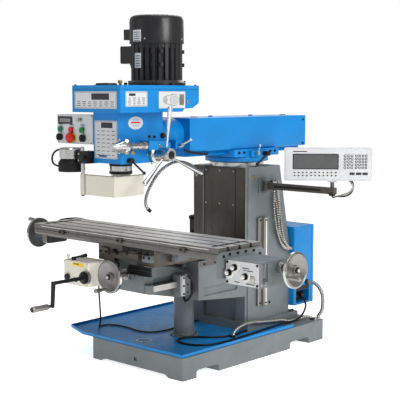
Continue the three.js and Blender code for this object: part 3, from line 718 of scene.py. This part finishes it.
def ribbed_hose(name, routes, radius, pitch, node=None):
    """Metal hose: bright rounded segments, one for each pitch, over a dark core that shows between them as
    painted shade in the grooves; it may stand for a CAD node.
    """
    hose = Piece(name)
    for stations in routes:
        points = smooth_route([at(*station) for station in stations], 24)
        # Dark core: painted shade in the grooves between the segments.
        hose.tube(points, [radius * 0.72] * len(points), INK_AND_SHADE, 10)
        segments = {}
        walked = 0.0
        for before, after in zip(points, points[1:]):
            segments.setdefault(int(walked / (pitch * MM)), [before]).append(after)
            walked += (after - before).length
        for segment in segments.values():
            middle = (len(segment) - 1) / 2
            swell = [radius * (1 - 0.22 * abs(i / middle - 1) ** 3) for i in range(len(segment))]
            start = segment[0].lerp(segment[1], 0.4)
            end = segment[-1].lerp(segment[-2], 0.4)
            hose.tube([start, *segment[1:-1], end], swell, HOSE, 12)
    made = hose.ride("frame", 0, 80)
    if node:
        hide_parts(node)


# ---- one function for each piece ----------------------------------------------------
BUILDERS = []


def builder(build):
    """Registers a function that makes its own pieces."""
    BUILDERS.append(build)
    return build


def fitting(body, bevel=0.3):
    """Registers a function that fills one piece, which takes its name and rides on the body."""
    def register(fill):
        def build():
            piece = Piece(fill.__name__)
            fill(piece)
            piece.ride(body, bevel)
        return builder(build)
    return register


# ---- head: plates, motor and switches -----------------------------------------------
@fitting("head", 0.2)
def housing_front_plate(piece):
    place = facing(Vector((CENTRE_X, HOUSING_LOW.y, 1.340)), FRONT)
    chart(piece, place, 292, 80, 3, 7, (0.42, 30, 0.12))
    corner_screws(piece, shifted(place, z=SHEET), 280, 68, 2.4, STEEL)


@fitting("head", 0.2)
def housing_side_plates(piece):
    speeds = facing(Vector((HOUSING_HIGH.x, at(0, -146, 0).y, 1.345)), RIGHT)
    chart(piece, speeds, 140, 70, 4, 4, (0.3, 12, -0.2))
    belts = facing(Vector((HOUSING_HIGH.x, at(0, 91, 0).y, 1.340)), RIGHT)
    piece.plate((182, 80, 3.5), 0, SHEET, belts, PANEL)
    for x, outer in ((-48, 15), (14, 28)):
        for radius in (outer, outer * 0.66, outer * 0.3):
            ring(piece, shifted(belts, x=x), radius - 1.6, radius, SHEET, 1.45, INK_AND_SHADE)
    for y in (-1, 1):
        slanted = shifted(belts, x=-18, y=y * 22) @ Matrix.Rotation(y * 0.2, 4, "Z")
        piece.plate((64, 1.6, 0.5, 2), SHEET, 1.45, slanted, INK_AND_SHADE)
    piece.plate((34, 52, 2), SHEET, 1.35, belts, HOSE, 66)
    piece.cap_screw(flat(172, 200, 1330, RIGHT), 8, STEEL)


@fitting("head", 0.5)
def spindle_cap(piece):
    place = upright(-34, -146, HOUSING_TOP)
    profile = [(51, 0), (51, 8.4), (47, 10.9), (30, 10.9), (28, 9.6), (12, 9.6), (11, 12)]
    piece.lathe(profile, place, MOTOR, 40)
    ring(piece, place, 51, 58, 0, 2.2, MOTOR, 40)


@fitting("head", 0.4)
def housing_lid_screws(piece):
    for x in (-158, 158):
        for y in (-232, -40, 270):
            piece.cap_screw(upright(x, y, HOUSING_TOP), 5.5, INK_AND_SHADE)
    breather = upright(-118, 22, HOUSING_TOP)
    piece.lathe([(7, 0), (7, 12), (12, 14), (12, 24), (6, 27)], breather, BRASS, 20)
    for x, y in ((-152, 92), (148, 120)):
        piece.lathe([(9, 0), (9, 14), (6, 16)], upright(x, y, HOUSING_TOP), INK_AND_SHADE, 6)


@fitting("head", 0.2)
def head_front_plate(piece):
    place = flat(5, -187, 1153, FRONT)
    chart(piece, place, 158, 180, 7, 4, (0.5, 26, 0.05))
    piece.plate((58, 10, 2), SHEET, 1.45, place, PRINT_BLUE, -22, -78)


@fitting("head", 0.2)
def head_side_badge(piece):
    spot = flat(HEAD_SIDE_X, -73, 1231, RIGHT)
    piece.slab(oval_outline(98, 62), 0, SHEET, spot, PANEL)
    piece.plate((62, 7, 2), SHEET, 1.4, spot, RED, y=2)
    for y in (-12, 14):
        piece.plate((40, 2.2, 0.8, 2), SHEET, 1.4, spot, PRINT_BLUE, y=y)


@fitting("head")
def head_side_bolts(piece):
    for y, z in ((18, 1163), (52, 1162)):
        piece.cap_screw(flat(HEAD_SIDE_X, y, z, RIGHT), 6.5, BLACK)
    piece.lathe([(13, 0), (13, 12), (10, 16)], flat(HEAD_SIDE_X, 106, 1166, RIGHT), BLACK, 28)
    for y, z in ((-174, 1092), (120, 1052), (126, 1090)):
        piece.cap_screw(flat(BOSS_X, y, z, RIGHT), 5.5, BLACK)
    piece.lathe([(11, 0), (11, 3), (8, 4), (7, 3)], flat(BOSS_X, -116, 1092, RIGHT), BRASS, 28)
    for spot in circle(flat(*FEED_HUB, RIGHT), 52, 6):
        piece.cap_screw(spot, 4.5, STEEL)


@fitting("quill", 0.2)
def quill_rings(piece):
    axis = upright(*SPINDLE_AXIS, 0)
    ring(piece, axis, 53.8, 55.6, 1024, 1040, BLACK, 48)
    ring(piece, axis, 53.8, 56, 986, 1000, BLACK, 48)


@fitting("feed_hub", 0.2)
def feed_hub_dial(piece):
    hub = flat(*FEED_HUB, RIGHT)
    collar(piece, hub, 44, 1, 17, 60)
    piece.lathe([(20, 109.7), (20, 111), (9, 113)], hub, BLACK, 32)


@fitting("fine_feed", 0.2)
def fine_feed_dial(piece):
    axis = flat(154, -100, 1126, FRONT)
    collar(piece, axis, 17.2, 0, 22, 40)
    ring(piece, axis, 17.2, 22, -26, -10, STEEL, 32)


@fitting("head", 0.1)
def motor_labels(piece):
    axis = upright(*MOTOR_AXIS, 0)
    curved_label(piece, axis, 134, -91.5, 12, 1617, 1677, PANEL)
    curved_label(piece, axis, 127, -92, 10, 1494, 1566, PANEL)
    for step in range(5):
        curved_label(piece, axis, 134.6, -91.5, 9, 1624 + 10 * step, 1627 + 10 * step, INK_AND_SHADE, 0.15)
        curved_label(piece, axis, 127.6, -92, 7, 1502 + 12 * step, 1506 + 12 * step, INK_AND_SHADE, 0.15)


@fitting("head", 0.5)
def motor_flange_bolts(piece):
    for spot in circle(upright(*MOTOR_AXIS, 1424), 135.5, 4, 45):
        piece.cap_screw(spot, 7, MOTOR, 9)
    for angle in (-53, -35, 42):
        for z in (1500, 1565):
            piece.plate((12, 18, 3), 0, 18, around(upright(*MOTOR_AXIS, z), angle, 131), MOTOR)


@fitting("head", 0.8)
def motor_cowl_details(piece):
    # A ring of dark flat marks on the cowl top: painted shade of its air slots.
    for spot in circle(upright(*MOTOR_AXIS, 1746.3), 120, 36):
        piece.plate((9, 5, 2.4, 4), 0, 0.6, spot @ Matrix.Rotation(math.radians(25), 4, "Y"), INK_AND_SHADE)
    for spot in circle(upright(*MOTOR_AXIS, 1634), 134, 4, 20):
        piece.cap_screw(spot @ Matrix.Rotation(math.radians(90), 4, "Y"), 4.5, STEEL, 3)
    ring(piece, upright(*MOTOR_AXIS, 1613.6), 134, 135.2, 0, 8, MOTOR, 64)
    piece.plate((52, 58, 5), 0, 52, upright(-152, 132, 1636), MOTOR)
    piece.plate((44, 46, 4), 0, 4, flat(-178, 132, 1662, LEFT), MOTOR)


@fitting("head", 0.6)
def terminal_box_lid(piece):
    low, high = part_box("terminal_box")
    place = facing(Vector((low.x, (low.y + high.y) / 2, (low.z + high.z) / 2)), LEFT)
    piece.plate((98, 88, 8), 0, 6, place, MOTOR)
    corner_screws(piece, shifted(place, z=6), 80, 70, 4, STEEL)
    gland = flat(-172, 161, 1520, DOWN, FRONT)
    piece.lathe([(14, 0), (14, 9), (11, 10), (11, 18), (7, 26)], gland, MOTOR, 12)
    piece.cable([(-172, 161, 1496), (-172, 162, 1470), (-166, 168, 1436), (-156, 176, 1407)], 6.5, CABLE)


@fitting("head", 0.2)
def panel_fittings(piece):
    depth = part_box("control_panel")[0].y
    face = front_plane(depth)
    piece.plate((108, 36, 3), 0, 2, face, INK_AND_SHADE, -290, 1240)
    piece.plate((90, 21, 2), 2, 2.3, face, GLASS, -290, 1240)
    for digit in range(5):
        spot = shifted(face, x=-322 + 16 * digit, y=1240, z=2.3)
        for side in (-1, 1):
            piece.plate((7, 1.6, 0.6, 2), 0, 0.15, spot, PLATE, y=-6.5 * side)
        for side in (-1, 1):
            piece.plate((1.6, 11, 0.6, 2), 0, 0.15, spot, PLATE, 4 * side)
    for node in ("start_button", "stop_button", "coolant_button"):
        spot = in_front_of(node, depth)
        ring(piece, spot, 14.8, 18.5, 0, 5, STEEL)
        piece.plate((30, 5, 1), 0, 0.4, spot, PRINT_BLUE, y=25)
    stop = in_front_of("emergency_stop", depth)
    ring(piece, stop, 15, 24.8, 0, 1.0, YELLOW)
    piece.slab(oval_outline(18, 44), 0, 1.0, shifted(stop, x=25), YELLOW)
    for node, sweep, first in (("speed_knob", 270, 225), ("selector_knob", 100, 50)):
        ticks(piece, in_front_of(node, depth), 22.5, 4, 9, INK_AND_SHADE, sweep, first)
    piece.plate((46, 20, 3), 0, 0.5, face, HOSE, -184, 1242)
    corner_screws(piece, shifted(face, x=-219.6, y=1197), 246, 128, 3, STEEL)
    piece.plate((258, 3, 1), 0, 3, face, PANEL, -219.6, 1266)


@fitting("head")
def guard_rod_sleeve(piece):
    axis = upright(*ROD_AXIS, 0)
    ring(piece, axis, 8.05, 9.2, 985, 1035.5, STEEL)
    ring(piece, axis, 8.05, 9.2, 1094.5, 1112, STEEL)
    piece.lathe([(9.2, 1112), (9.2, 1113), (6, 1116)], axis, STEEL)
    knob = flat(-108, -226, 1065, FRONT)
    piece.lathe([(7, 0), (7, 8), (13, 10), (13, 20), (9, 23)], knob, BLACK, 10)
    piece.cap_screw(flat(-146, -226, 1050, FRONT), 4, STEEL)
    piece.cap_screw(flat(-146, -226, 1082, FRONT), 4, STEEL)


@fitting("splash_guard")
def guard_edge_strips(piece):
    piece.plate((5, 100.4, 1, 2), -2.6, 2.6, flat(-117, -212, 934, FRONT), ALLOY)
    piece.plate((205, 4, 1, 2), -3.4, 3.4, flat(-15, -212, 982, FRONT), ALLOY)
    piece.plate((180, 4, 1, 2), -3.4, 3.4, flat(86, -114, 982, RIGHT), ALLOY)


def lamp_axis():
    low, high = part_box("lamp_bezel")
    return Matrix.Translation(Vector(((low.x + high.x) / 2, (low.y + high.y) / 2, 0)))


@fitting("lamp", 0.4)
def lamp_drum(piece):
    profile = [(52, 1055), (60, 1055), (60, 1100), (54, 1106.6), (20, 1107.6)]
    piece.lathe(profile, lamp_axis(), STEEL, 18)


@fitting("lamp", 0.4)
def lamp_trim(piece):
    axis = lamp_axis()
    for spot in circle(axis, 64, 36):
        piece.plate((3, 5, 1, 2), 996, 1034, spot, BLACK)
    ring(piece, axis, 42, 51, 993, 1001, BLACK, 48)
    piece.lathe([(43, 996), (43, 998.5)], axis, GLASS, 40)
    for radius, count in ((12, 4), (29, 9)):
        for spot in circle(axis, radius, count):
            piece.lathe([(0, 993), (4, 993.6), (6, 996)], spot, PANEL, 16)
    loop = [(-296, 1084), (-330, 1094), (-372, 1080), (-392, 1052), (-384, 1024), (-344, 1012), (-304, 1022)]
    piece.cable([(x, -190, z) for x, z in loop], 5, BLACK, 6)


# ---- column, turret and readout -----------------------------------------------------
@fitting("frame")
def column_way_cover(piece):
    middle = flat(0, 640, 0, FRONT)
    piece.plate((220, 640, 2), 0, 4, middle, DARK, y=655)
    for x in (-56, 56):
        piece.plate((3, 636, 0.6, 2), 4, 5, middle, DARK, x, 655)
    for x in (-98, 0, 98):
        for z in (400, 782, 960):
            piece.cap_screw(shifted(middle, x=x, y=z, z=4), 5, STEEL, 3)
    for x in (-151, 151):
        piece.plate((66, 420, 0.6, 2), 0, 0.15, flat(x, 630, 772, FRONT), DARK)


@fitting("frame", 0.6)
def column_left_fittings(piece):
    piece.plate((44, 110, 6), 0, 46, flat(-COLUMN_SIDE_X, 672, 645, LEFT), BLACK)
    piece.lathe([(11, 0), (11, 20), (8, 24)], flat(-212, 650, 690, FRONT), BLACK, 20)
    piece.lathe([(9, 0), (9, 12), (0, 14)], flat(-212, 650, 610, FRONT), BLACK, 20)
    piece.plate((120, 300, 8), 0, 3, flat(-COLUMN_SIDE_X, 790, 420, LEFT), CAST)
    corner_screws(piece, flat(-192, 790, 420, LEFT), 100, 278, 5, BLACK)


@fitting("frame")
def column_right_fittings(piece):
    for z in (250, 698):
        piece.cap_screw(flat(203.3, 734, z, RIGHT), 4.5, BLACK)
        piece.cap_screw(flat(213.3, 772, z, RIGHT), 4.5, BLACK)
    piece.plate((8, 470, 2, 2), 0, SHEET, flat(213.3, 772, 474, RIGHT), PLATE)
    for y, z in ((836, 900), (736, 900), (830, 240), (1030, 130)):
        piece.cap_screw(flat(COLUMN_SIDE_X, y, z, RIGHT), 6, BLACK)
    piece.lathe([(9, 0), (9, 3), (4, 5)], flat(COLUMN_SIDE_X, 690, 930, RIGHT), BRASS, 20)


@fitting("turret", 0.4)
def turret_bolts(piece):
    for spot in circle(upright(*TURRET_AXIS, 1030), 160, 6, 20):
        piece.lathe([(11, 0), (11, 2), (9, 2), (9, 12)], spot, STEEL, 6)
    for y in (620, 660, 880, 920):
        piece.cap_screw(flat(148, y, 1060, RIGHT), 7, BLACK)
        piece.cap_screw(flat(-148, y, 1060, LEFT), 7, BLACK)
    for spot in circle(upright(*TURRET_AXIS, 1034), 169, 13, -30, 65):
        piece.plate((7, 0.8, 0.3, 2), 0, 0.4, spot, PLATE)


@fitting("ram", 0.4)
def ram_fittings(piece):
    for y in (430, 1180):
        piece.plate((26, 26, 4), 0, 4, upright(0, y, 1248), BLACK)
    stations = [(119, 232, 1090), (126, 262, 1080), (127, 330, 1070), (127, 380, 1065), (118, 404, 1065)]
    route = smooth_route([at(*station) for station in stations])
    piece.tube(route, [6.5 - 1.2 * (i % 2) for i in range(len(route))], CABLE)
    for spot in circle(flat(0, 152.2, 1165, FRONT), 71, 8):
        piece.cap_screw(spot, 6, BLACK, 4)
    for side, x in ((RIGHT, 120), (LEFT, -120)):
        for z in (1090, 1225):
            piece.cap_screw(flat(x, 1212, z, side), 6, BLACK)


def readout_side(side):
    """A place in the middle of the readout's front, for 1, or back, for -1."""
    normal = side * Vector((math.sin(READOUT_YAW), -math.cos(READOUT_YAW), 0))
    return facing(at(*READOUT_PIVOT, 1018) + 25 * MM * normal, normal)


@fitting("readout", 0.25)
def readout_face(piece):
    face = shifted(readout_side(1), x=-23.5)
    piece.plate((425, 153, 6), 0, 1.5, face, PANEL)
    piece.plate((228, 78, 4), 1.5, 2.6, face, INK_AND_SHADE, -62, 14)
    piece.plate((218, 68, 3), 2.6, 2.8, face, GLASS, -62, 14)
    for row in range(3):
        piece.plate((8, 9, 1.5), 2.6, 3.1, face, PANEL, 58, 36 - 22 * row)
    for columns, first, pitch, key, mark in (
        (3, 84, 17, (12, 10, 2), (6, 4.4, 1)),
        (4, 140, 16, (11, 10, 2), (4.6, 3.8, 1)),
    ):
        for column in range(columns):
            for row in range(5):
                spot = shifted(face, x=first + pitch * column, y=44 - 15 * row)
                piece.plate(key, 1.5, 3.4, spot, INK_AND_SHADE)
                piece.plate(mark, 3.4, 3.6, spot, PLATE)
    for column in range(11):
        for row in range(2):
            spot = shifted(face, x=-166 + 20.5 * column, y=-41 - 15 * row)
            piece.slab(oval_outline(14, 11, 20), 1.5, 3.2, spot, PLATE)
            piece.slab(oval_outline(10.4, 7.4, 20), 3.2, 3.4, spot, INK_AND_SHADE)
    for column in range(3):
        piece.plate((26, 12, 2), 1.5, 3.4, face, INK_AND_SHADE, 120 + 32 * column, -46)
    piece.plate((70, 5, 1), 1.5, 1.8, face, INK_AND_SHADE, -140, 64)


@fitting("readout")
def readout_back(piece):
    rear = readout_side(-1)
    piece.plate((300, 110, 6), 0, 4, rear, PANEL, 23.5)
    # Dark strips on the back cover: painted shade of vent slots.
    for step in range(9):
        piece.plate((60, 3, 1.4, 3), 4, 4.4, rear, INK_AND_SHADE, -40, -36 + 9 * step)
    corner_screws(piece, shifted(rear, x=23.5, z=4), 280, 92, 3.5, STEEL)
    for drop, colour in ((0, HOSE), (10, CABLE)):
        piece.cable([(702 + drop, 814 + drop, 940), (732, 802 + drop, 922), (746, 790, 903 - drop),
                    (736, 779, 882 - drop), (706, 771, 869 - drop), (670, 766, 857),
                    (648, 764, 850), (*READOUT_PIVOT, 857)], 4.2, colour)


@fitting("readout_arm", 0.4)
def readout_arm_joints(piece):
    piece.lathe([(15, 907.6), (15, 914), (9, 916)], upright(220, 762, 0), STEEL, 24)
    piece.lathe([(22, 866), (22, 870), (16, 870), (16, 858)], upright(*READOUT_PIVOT, 0), BLACK, 24)
    piece.plate((300, 10, 3), 0, 2, flat(430, 748, 883, FRONT), BLACK)


# ---- knee, saddle and table ---------------------------------------------------------
@fitting("knee", 0.6)
def knee_side_rail(piece):
    side = flat(105, 0, 0, RIGHT)
    piece.plate((206, 29, 2), 0, 30, side, PALE_RAIL, 72, 424)
    piece.plate((26, 46, 4), 0, 38, side, CAST, -24, 424)
    piece.plate((78, 112, 4), 0, 52, side, CAST, 196, 420)
    piece.plate((20, 100, 3), 52, 66, side, PANEL, 172, 420)
    for y in (380, 420, 460):
        piece.cap_screw(shifted(side, x=172, y=y, z=66), 5, BLACK)
        piece.cap_screw(shifted(side, x=216, y=y, z=52), 4, BLACK)


@fitting("knee", 0.4)
def knee_rear_strips(piece):
    for direction, hand in ((RIGHT, 1), (LEFT, -1)):
        outward = flat(hand * 190, 0, 0, direction)
        piece.plate((300, 26, 1.5), 0, 1.5, outward, GROUND, hand * 420, 516)
        for y in (300, 380, 460, 540, 600):
            piece.cap_screw(shifted(outward, x=hand * y, y=516, z=1.5), 5, BLACK)


@fitting("knee", 0.5)
def knee_way_cover(piece):
    for x, width in ((110, 156), (-78, 84)):
        for fold in range(4):
            reach = 15 if fold % 2 else 18
            piece.plate((width, 8, 3, 4), 0, reach, flat(x, -66, 503 + 12 * fold, FRONT), BLACK)
        for fold in range(3):
            piece.plate((width - 6, 6, 1, 2), 0, 10, flat(x, -66, 509 + 12 * fold, FRONT), BLACK)


@fitting("knee", 0)
def knee_wiring(piece):
    piece.cable([(100, 30, 528), (134, 52, 535), (166, 96, 532), (184, 160, 504), (190, 205, 458),
                 (188, 222, 410), (178, 212, 362), (160, 196, 340), (140, 204, 356)], 6.5, CABLE)
    thin_route = [(108, 120, 520), (150, 130, 532), (176, 160, 520), (184, 190, 490), (172, 200, 474)]
    piece.cable(thin_route, 4, CABLE)
    for place in (at(188, 205, 462), at(178, 150, 524)):
        piece.plate((18, 18, 5), -9, 9, facing(place, UP, FRONT), BLACK)


@fitting("knee", 0.4)
def knee_front_fittings(piece):
    face = flat(0, KNEE_FRONT_Y, 0, FRONT)
    ring(piece, shifted(face, y=491), 24.5, 40, 0, 9, CAST, 40)
    for spot in circle(shifted(face, y=491, z=9), 33, 4, 45):
        piece.cap_screw(spot, 4, BLACK)
    piece.plate((50, 26, 3), 0, SHEET, face, PLATE, 70, 515)


@fitting("crank")
def crank_grip(piece):
    grip = flat(-142, -436, 366, FRONT)
    piece.lathe([(13.6, 0), (14.6, 8), (13.8, 50), (15, 83), (12, 93), (0, 93.8)], grip, ALLOY, 32)


@fitting("knee", 0.4)
def feed_box_trim(piece):
    face = front_plane(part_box("power_feed_box")[0].y)
    piece.plate((84, 17, 4), 0, 1.0, face, YELLOW, -206, 530)
    piece.plate((40, 5, 2), 1.0, 1.2, face, INK_AND_SHADE, -218, 532)
    sleeve = shifted(face, x=-142, y=474)
    ring(piece, sleeve, 25.5, 34, 0, 14, HOSE, 40)
    ring(piece, sleeve, 26, 31, 14, 22, BLACK, 40)
    dial = shifted(face, x=-282, y=462)
    piece.lathe([(15, 0), (15, 10), (12, 16)], dial, BLACK, 28)
    piece.plate((30, 18, 3), 0, 5, face, BLACK, -226, 452)
    ticks(piece, dial, 21, 4, 11, INK_AND_SHADE, 300, 120)
    corner_screws(piece, shifted(face, x=-223, y=486), 172, 104, 3.5, STEEL)
    piece.plate((176, 108, 10), -0.5, 2, upright(-223, -128, 542.4), BEIGE)


@fitting("saddle", 0.5)
def saddle_way_cover(piece):
    folds = [(-98 + 22 * i, -34 if i % 2 else -20) for i in range(10)]
    piece.slab([*folds, (100, 0), (-98, 0)], -14, 10, upright(96, SADDLE_FRONT_Y, 622), BLACK)
    piece.plate((200, 5, 2), 0, 34, flat(96, SADDLE_FRONT_Y, 606, FRONT), BLACK)


@fitting("saddle", 0.5)
def saddle_blocks(piece):
    right = flat(216, 0, 0, RIGHT)
    piece.plate((104, 50, 14), 0, 20, right, CAST, 94, 588)
    piece.lathe([(16, 0), (16, 8), (11, 10)], shifted(right, x=66, y=590, z=20), CAST, 28)
    for x in (118, 136):
        piece.cap_screw(shifted(right, x=x, y=598, z=20), 5, BLACK)
    front = flat(0, SADDLE_FRONT_Y, 0, FRONT)
    piece.plate((66, 36, 6), 0, 16, front, CAST, 164, 586)
    piece.plate((62, 36, 6), 0, 12, front, IRON, -146, 592)
    for x, z in ((-166, 12), (-126, 12), (146, 16), (182, 16)):
        piece.cap_screw(shifted(front, x=x, y=590, z=z), 6, BLACK)
    for x in (-76, 22):
        lever = shifted(front, x=x, y=598)
        piece.lathe([(11, 0), (11, 12), (7, 15)], lever, BLACK, 24)
        start = lever @ Vector((0, 0, 0.010))
        bends = (Vector((0.022, -0.003, -0.006)), Vector((0.032, -0.004, -0.009)))
        piece.tube([start, start + bends[0], start + bends[1]], [4.5, 5, 7], BLACK)


@fitting("table", 0.4)
def table_stop_dogs(piece):
    face = flat(0, TABLE_FRONT_Y, 0, FRONT)
    for x in (-420, 10, 430):
        piece.plate((34, 24, 3), 0, 12, face, IRON, x, 662)
        piece.cap_screw(shifted(face, x=x, y=664, z=12), 6, BLACK)
    piece.plate((1180, 4, 1, 2), 0, 1.0, face, STEEL, y=680)


@fitting("table", 0)
def table_wiring(piece):
    piece.cable([(-664, 60, 676), (-690, 110, 684), (-660, 186, 688), (-560, 192, 684),
                  (-430, 192, 680), (-300, 190, 676), (-284, 183, 674)], 5, CABLE)


@fitting("table", 0.4)
def table_end_fittings(piece):
    corner_screws(piece, flat(-675, 40, 618, LEFT), 104, 68, 6, BLACK)
    for y, z in ((-96, 656), (-56, 662), (0, 662), (56, 662), (112, 660), (158, 640), (182, 620), (140, 610)):
        piece.cap_screw(flat(665, y, z, RIGHT), 6.5, BLACK)


@fitting("table", 0.2)
def gearbox_front_plate(piece):
    middle = flat(766, GEARBOX_FRONT_Y, 589.5, FRONT)
    piece.plate((188, 106, 3), 0, THIN, middle, PANEL)
    for knob in GEAR_KNOBS:
        spot = in_front_of(knob, at(0, GEARBOX_FRONT_Y, 0).y)
        ring(piece, spot, 15.5, 25, THIN, 4, PLATE)
        ticks(piece, shifted(spot, z=4), 21.5, 4, 7, INK_AND_SHADE, 150, 20)
    corner_screws(piece, shifted(middle, z=THIN), 170, 88, 5.5, BLACK)
    marks = ((20, 26, 40), (34, 16, 52), (52, -6, 34), (44, -34, 60), (44, -42, 48), (-30, -40, 30))
    for x, y, width in marks:
        piece.plate((width, 4, 1), THIN, 0.45, middle, INK_AND_SHADE, x, y)
    piece.plate((54, 22, 3), THIN, 3, middle, HOSE, 44, -24)


@builder
def gear_knob_caps():
    for knob in GEAR_KNOBS:
        cap = Piece(knob + "_cap")
        cap.lathe([(11, -1), (11, 1.6), (8, 2.4)], in_front_of(knob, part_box(knob)[0].y), STEEL, 28)
        cap.ride(knob, 0.2)


@fitting("table")
def gearbox_side_fittings(piece):
    right = flat(863, 0, 0, RIGHT)
    piece.plate((3, 108, 1, 2), 0, 2, right, CAST, -62, 589)
    for x, y in ((-74, 632), (-74, 548), (-50, 548), (-50, 632)):
        piece.cap_screw(shifted(right, x=x, y=y), 4.5, STEEL)
    piece.lathe([(11, 0), (11, 4), (8, 5), (7, 3)], shifted(right, x=-56, y=566), GLASS, 28)


@builder
def wheel_dials():
    """Graduated collars, hub nuts and bright rims of the three handwheels."""
    for body, place, face in (
        ("left_wheel", flat(-675.3, 40, 612, LEFT), 130.7),
        ("right_wheel", flat(872.3, 40, 612, RIGHT), 95.7),
        ("cross_wheel", flat(0, -40.3, 491, FRONT), 135.7),
    ):
        dial = Piece(body + "_dial")
        collar(dial, place, 24, 2, 24)
        ring(dial, place, 24, 27, 24, 26, STEEL, 40)
        dial.lathe([(15, face), (15, face + 4)], place, BLACK, 6)
        dial.lathe([(8, face + 4), (8, face + 9), (0, face + 10)], place, STEEL, 24)
        ring(dial, place, 74, 80.6, face - 15, face - 3, STEEL, 64)
        dial.ride(body, 0.3)


# ---- base, tray and cabinet ---------------------------------------------------------
@fitting("frame", 0.4)
def base_fittings(piece):
    for x in (-298, 298):
        piece.lathe([(22, 0), (22, 3), (13, 3), (13, 11)], upright(x, 1110, 112), STEEL, 6)
    for x in (-180, 180):
        for y in (1030, 1052):
            piece.cap_screw(upright(x, y, 158), 8, BLACK)


@fitting("frame")
def tray_fittings(piece):
    strainer = upright(-60, 120, TRAY_TOP)
    ring(piece, strainer, 34, 40, 0, 1.6, STEEL, 40)
    # Dark discs on the strainer plate: painted shade of its holes.
    for radius, count in ((8, 5), (18, 11), (28, 17)):
        for spot in circle(strainer, radius, count):
            piece.slab(oval_outline(4.5, 4.5, 12), 0, 0.4, spot, INK_AND_SHADE)
    ring(piece, upright(*SCREW_AXIS, TRAY_TOP), 59, 74, 0, 5, CAST, 48)
    for spot in circle(upright(*SCREW_AXIS, FOOT_RING_TOP), 66.5, 6):
        piece.cap_screw(spot, 4, BLACK)


@fitting("frame", 0.4)
def cabinet_sockets(piece):
    recess = flat(186, 0, 0, RIGHT)
    piece.plate((118, 24, 3), 0, 1.0, flat(225, 1085, 289, RIGHT), BLACK)
    piece.plate((116, 64, 5), 0, 0.8, recess, BLACK, 1085, 241)
    for y in (1052, 1108):
        piece.plate((34, 34, 4), 0, 8, recess, BLACK, y, 240)
        piece.lathe([(13, 8), (13, 22), (9, 26)], shifted(recess, x=y, y=240), BLACK, 24)
    piece.lathe([(15, 0), (15, 8), (11, 9), (11, 15)], flat(225, 1120, 316, RIGHT), BLACK, 12)


@fitting("cabinet_door", 0.4)
def cabinet_door_fittings(piece):
    face = flat(0, 1188, 0, BACK)
    piece.plate((24, 70, 6), 0, 5, face, BLACK, -180, 420)
    piece.plate((12, 52, 5), 5, 12, face, BLACK, -180, 420)
    # Raised louvres, each with a dark strip along its lower edge: painted shade of the opening under it.
    for step in range(8):
        piece.plate((170, 6, 2.8, 3), 0, 2.2, face, BLUE, 30, 260 + 14 * step)
        piece.plate((160, 2, 0.9, 2), 2.2, 2.5, face, INK_AND_SHADE, 30, 257 + 14 * step)
    piece.plate((110, 60, 4), 0, SHEET, face, PLATE, 30, 520)


# ---- hoses --------------------------------------------------------------------------
@builder
def coolant_pipe():
    ribbed_hose("coolant_pipe", [COOLANT_ROUTE], 8.2, 15, "coolant_hose")


@fitting("frame")
def coolant_nozzle(piece):
    before, end = (at(*station) for station in COOLANT_ROUTE[-2:])
    along = (end - before).normalized()
    piece.tube([end - along * 0.016, end, end + along * 0.006], [9, 9.4, 7.6], BLACK, 20)


def strand_route(strand):
    """One of the four strands, which wave a little about the bundle's own route."""
    spread = 15 * (strand - 1.5)
    return [(x + 3 + 3 * math.cos(2 * i + strand), y + spread + 7 * math.sin(1.9 * i + 2.6 * strand), z)
            for i, (x, y, z) in enumerate(SCALE_ROUTE)]


@builder
def low_hoses():
    strands = [strand_route(strand) for strand in range(4)]
    ribbed_hose("scale_cable_bundle", strands, 6.2, 13, "scale_cables")
    ribbed_hose("pump_hose", [PUMP_ROUTE], 11, 14, "pump_conduit")
    ribbed_hose("tray_hose", [TRAY_HOSE_ROUTE], 9, 14)


@fitting("frame")
def tray_hose_ends(piece):
    for station in (TRAY_HOSE_ROUTE[0], TRAY_HOSE_ROUTE[-1]):
        piece.lathe([(13, 0), (13, 6), (11, 12)], upright(*station), BLACK, 20)


# ---- the build ----------------------------------------------------------------------
make_camera()
lay_cord("power_feed_lead", "power_feed_cord", POWER_ROUTE, 4.5)
lay_cord("mains_lead", "mains_cable", MAINS_ROUTE, 5.5)
make_studio()
dress_castings()
make_floor()
for build in BUILDERS:
    build()
